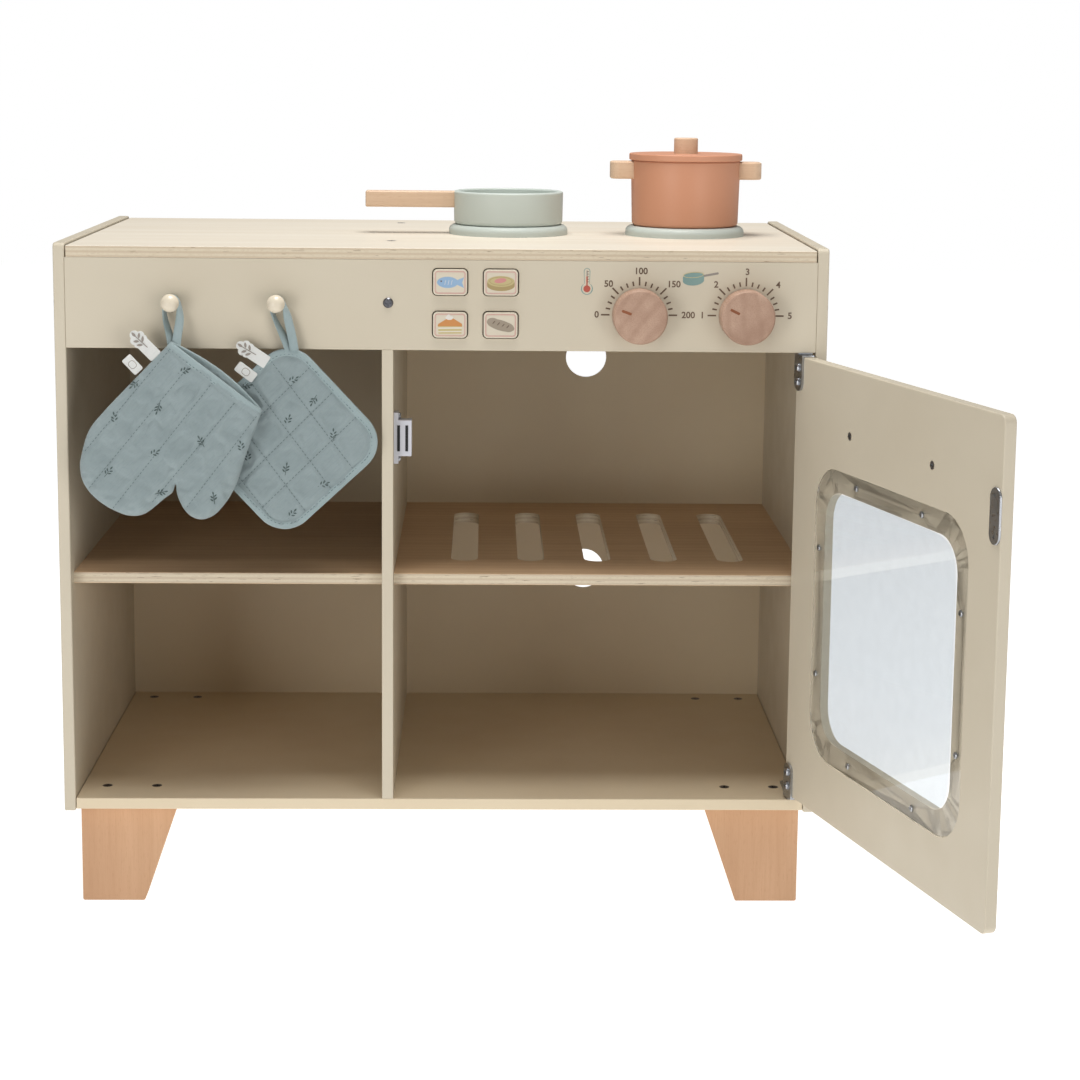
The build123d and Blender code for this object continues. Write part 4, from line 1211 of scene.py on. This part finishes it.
def addSprigs(name, body, look, ground, sign):
    marks = []
    for dx, dz, turn in look["sprigs"]:
        turn += 0 if sign < 0 else sprigLook["turnBehind"]
        marks += sprig(dx + look["hook"][0], dz + look["hook"][1], turn, sprigLook["size"])
    addPrint(name, body, ground, marks, side=sign, thick=0.5)


def addLoop(name, body, look):
    dx, dz = look["hook"]
    keys = [(np.array((p[0] + dx, p[1], p[2] + dz)), np.array(w)) for p, w in look["loop"]]
    addRibbon(name, body, keys, look["loopWide"], look["loopThick"], tealBinding)


def addMitt():
    look = mittLook
    hook = look["hook"]
    step = look["cell"]
    seam = flowing(shifted(look["fingers"], hook), step) + flowing(shifted(look["thumb"], hook), step)[1:]
    start, end = seam[-1], seam[0]
    run = end - start
    outward = np.array((-run[1], run[0])) / np.linalg.norm(run)
    if outward[1] < 0:
        outward = -outward
    count = int(np.linalg.norm(run) / step)
    quilt = [shifted(line, hook) for line in look["quilt"]]
    quilt.append([start - outward * look["hem"], end - outward * look["hem"]])

    def crown(points):
        return look["bulge"] * (1 - np.exp(-reach(points, seam) / 9.0))

    for side, sign, rise, levels in (("front", -1, 0.6, 2), ("back", 1, look["cuffStep"], 1)):
        cuff = [start + run * i / count + outward * rise * math.sin(math.pi * i / count)
                for i in range(1, count)]
        pad, lines = quiltPad("mitt_" + side, look, seam, cuff, quilt,
                              lambda points: look["middleY"] + sign * crown(points), levels)
        dressPad(pad, "mitt")
        edge = [start] + cuff + [end]
        y = look["middleY"] + sign * crown(edge)
        path = [np.array((p[0], v, p[1])) for p, v in zip(edge, y)]
        addBinding("mittHem_" + side, "mitt", path, [-outward] * len(path), look["hem"], look["hemThick"],
                   False, tealBinding)
        ground = groundOf(pad, sign)
        rows = [onCloth(line, ground, sign * 0.05) for line in lines[:-1]]
        hemFace = look["hemThick"] / 2 - 0.1
        rows.append([tuple(p - np.array((outward[0], 0, outward[1])) * (look["hem"] - 2.2)
                           + np.array((0, sign * hemFace, 0))) for p in path[1:-1]])
        sewn("mittStitches_" + side, "mitt", rows)
        addSprigs("mittPrint_" + side, "mitt", look, ground, sign)
        if side == "front":
            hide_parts("oven_mitt")
    addLoop("mittLoop", "mitt", look)
    addTags("mitt", hook, ((-17.5, -33.5, 135, 23, 10.5), (-28.5, -47.0, 133, 15, 8.6)),
            look["middleY"] + 0.3)


def addTags(body, hook, tags, y):
    (x, z, turn, length, wide), (x2, z2, turn2, length2, wide2) = tags
    x, z, x2, z2 = x + hook[0], z + hook[1], x2 + hook[0], z2 + hook[1]
    tilt = math.radians(turn)
    tipX, tipZ = x + math.cos(tilt) * length * 0.34, z + math.sin(tilt) * length * 0.34
    scallops = [("label", 0, roundedBox(x, z, length * 0.9, wide, 1.0, turn))]
    for i, (u, v, r) in enumerate(((0.5, 0.0, 0.34), (0.2, 0.3, 0.3), (0.2, -0.3, 0.3), (-0.15, 0.36, 0.22),
                                   (-0.15, -0.36, 0.22))):
        middle = turned(tipX, tipZ, wide * u, wide * v, tilt)
        scallops.append(("label", i + 1, oval(*middle, wide * r, wide * r, 0, 18)))
    marks = [(ink, layer + 8, outline) for ink, layer, outline in sprig(tipX, tipZ, turn - 90, 1.7)]
    addPrint(body + "LeafTag", body, y, scallops, thick=0.6)
    addPrint(body + "LeafTagPrint", body, y, [("greyInk", layer, outline) for _, layer, outline in marks],
             thick=0.1)
    outer, inner = roundedBox(x2, z2, 6.4, 5.6, 2.2, turn2), roundedBox(x2, z2, 5.6, 4.8, 1.9, turn2)
    addPrint(body + "SmallTag", body, y, [("label", 0, roundedBox(x2, z2, length2, wide2, 1.4, turn2)),
                                          ("greyInk", 1, outer, inner)], thick=0.6)


holderLook = {
    "hook": (-168.0, 492.0),
    "middle": (6.5, -106.5),
    "side": 113.5,
    "corner": 24.0,
    "turn": 43.0,
    "quilt": [((-6.3, -43), (57.9, -128.7)), ((-24, -57), (44, -149)), ((-43, -76), (24, -167)),
              ((-60, -98), (3, -180)), ((29, -46), (-33, -108), (-47, -122)), ((46, -66), (-34, -146)),
              ((63, -86.5), (-16, -164))],
    "sprigs": [(12.4, -59.5, -60), (-23.5, -64.5, -80), (8.2, -91.2, -20), (43.3, -102.3, 0),
               (6.3, -129.5, -10), (35.9, -141.5, -70), (-23.2, -120.4, 0), (11.1, -165, -40),
               (-36, -98, 100), (28, -76, 150)],
    "middleY": -20.6,
    "rim": 0.8,
    "channel": 0.8,
    "cell": 3.2,
    "cap": 2.2,
    "pressure": 4.0,
    "bending": 0.25,
    "spare": 0.05,
    "crease": 0.4,
    "binding": 5.8,
    "bindingThick": 3.8,
    "loop": [((13.6, -23.6, -37), (1, 0, 0.2)), ((12.2, -23.4, -28), (1, 0.1, 0.2)),
             ((8.6, -22.4, -12), (0.8, 0.5, 0.3)), ((5.9, -19.8, -1.5), (0.15, 1, 0)),
             ((3.4, -19.2, 3.6), (0, 1, 0)), ((0, -19.2, 4.9), (0, 1, 0)), ((-3.4, -19.2, 3.4), (0, 1, 0)),
             ((-4.8, -19.4, -3.4), (0.1, 1, 0)), ((-0.8, -20.2, -14), (0.4, 0.9, 0)),
             ((5.6, -21.4, -27), (0.8, 0.5, 0)), ((9.8, -21.8, -37), (1, 0.2, 0))],
    "loopWide": 6.8,
    "loopThick": 1.2,
}


def addHolder():
    look = holderLook
    hook = look["hook"]
    corner = roundedBox(look["middle"][0], look["middle"][1], look["side"], look["side"], look["corner"],
                        look["turn"], 12)
    seam = flowing(shifted(corner, hook), look["cell"], closed=True)
    ends = np.array(seam)
    gaps = np.linalg.norm(ends - np.roll(ends, 1, axis=0), axis=1)
    seam = [p for p, gap in zip(seam, gaps) if gap > 0.8]
    quilt = [shifted(line, hook) for line in look["quilt"]]
    inset = 2 * look["binding"]
    under = roundedBox(look["middle"][0], look["middle"][1], look["side"] - inset, look["side"] - inset,
                       look["corner"] - look["binding"], look["turn"], 12)
    quilt.append(shifted(under + under[:1], hook))
    centre = np.array((look["middle"][0] + hook[0], look["middle"][1] + hook[1]))

    def lie(points):
        # the square hangs a little curved, its sides towards the viewer
        return look["middleY"] - 0.5 * np.abs(np.asarray(points)[:, 0] - centre[0]) / 60

    pad, lines = quiltPad("holder_pad", look, seam, [], quilt, lie, 2)
    dressPad(pad, "holder")
    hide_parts("pot_holder")
    ring = np.array(seam)
    ahead = np.roll(ring, -1, axis=0) - np.roll(ring, 1, axis=0)
    inward = np.column_stack([-ahead[:, 1], ahead[:, 0]])
    inward /= np.linalg.norm(inward, axis=1, keepdims=True)
    inward *= np.sign(((centre - ring) * inward).sum(1, keepdims=True))
    y = lie(ring)
    path = [np.array((p[0], v, p[1])) for p, v in zip(ring, y)]
    addBinding("holderBinding", "holder", path, inward, look["binding"], look["bindingThick"],
               True, tealBinding)
    faceRow = look["bindingThick"] / 2 - 0.12
    for side, sign in (("front", -1), ("back", 1)):
        ground = groundOf(pad, sign)
        rows = [onCloth(line, ground, sign * 0.05) for line in lines[:-1]]
        row = [tuple(p + np.array((w[0], 0, w[1])) * (look["binding"] - 2.4)
                     + np.array((0, sign * faceRow, 0))) for p, w in zip(path, inward)]
        rows.append(row + row[:1])
        sewn("holderStitches_" + side, "holder", rows)
        addSprigs("holderPrint_" + side, "holder", look, ground, sign)
    addLoop("holderLoop", "holder", look)
    addTags("holder", hook, ((-16.5, -40.5, 147, 24, 10.5), (-24.0, -53.6, 143, 17, 8.6)),
            look["middleY"] - look["bindingThick"] / 2 - 0.9)


addMitt()
print("oven mitt sewn")
addHolder()
print("pot holder sewn")
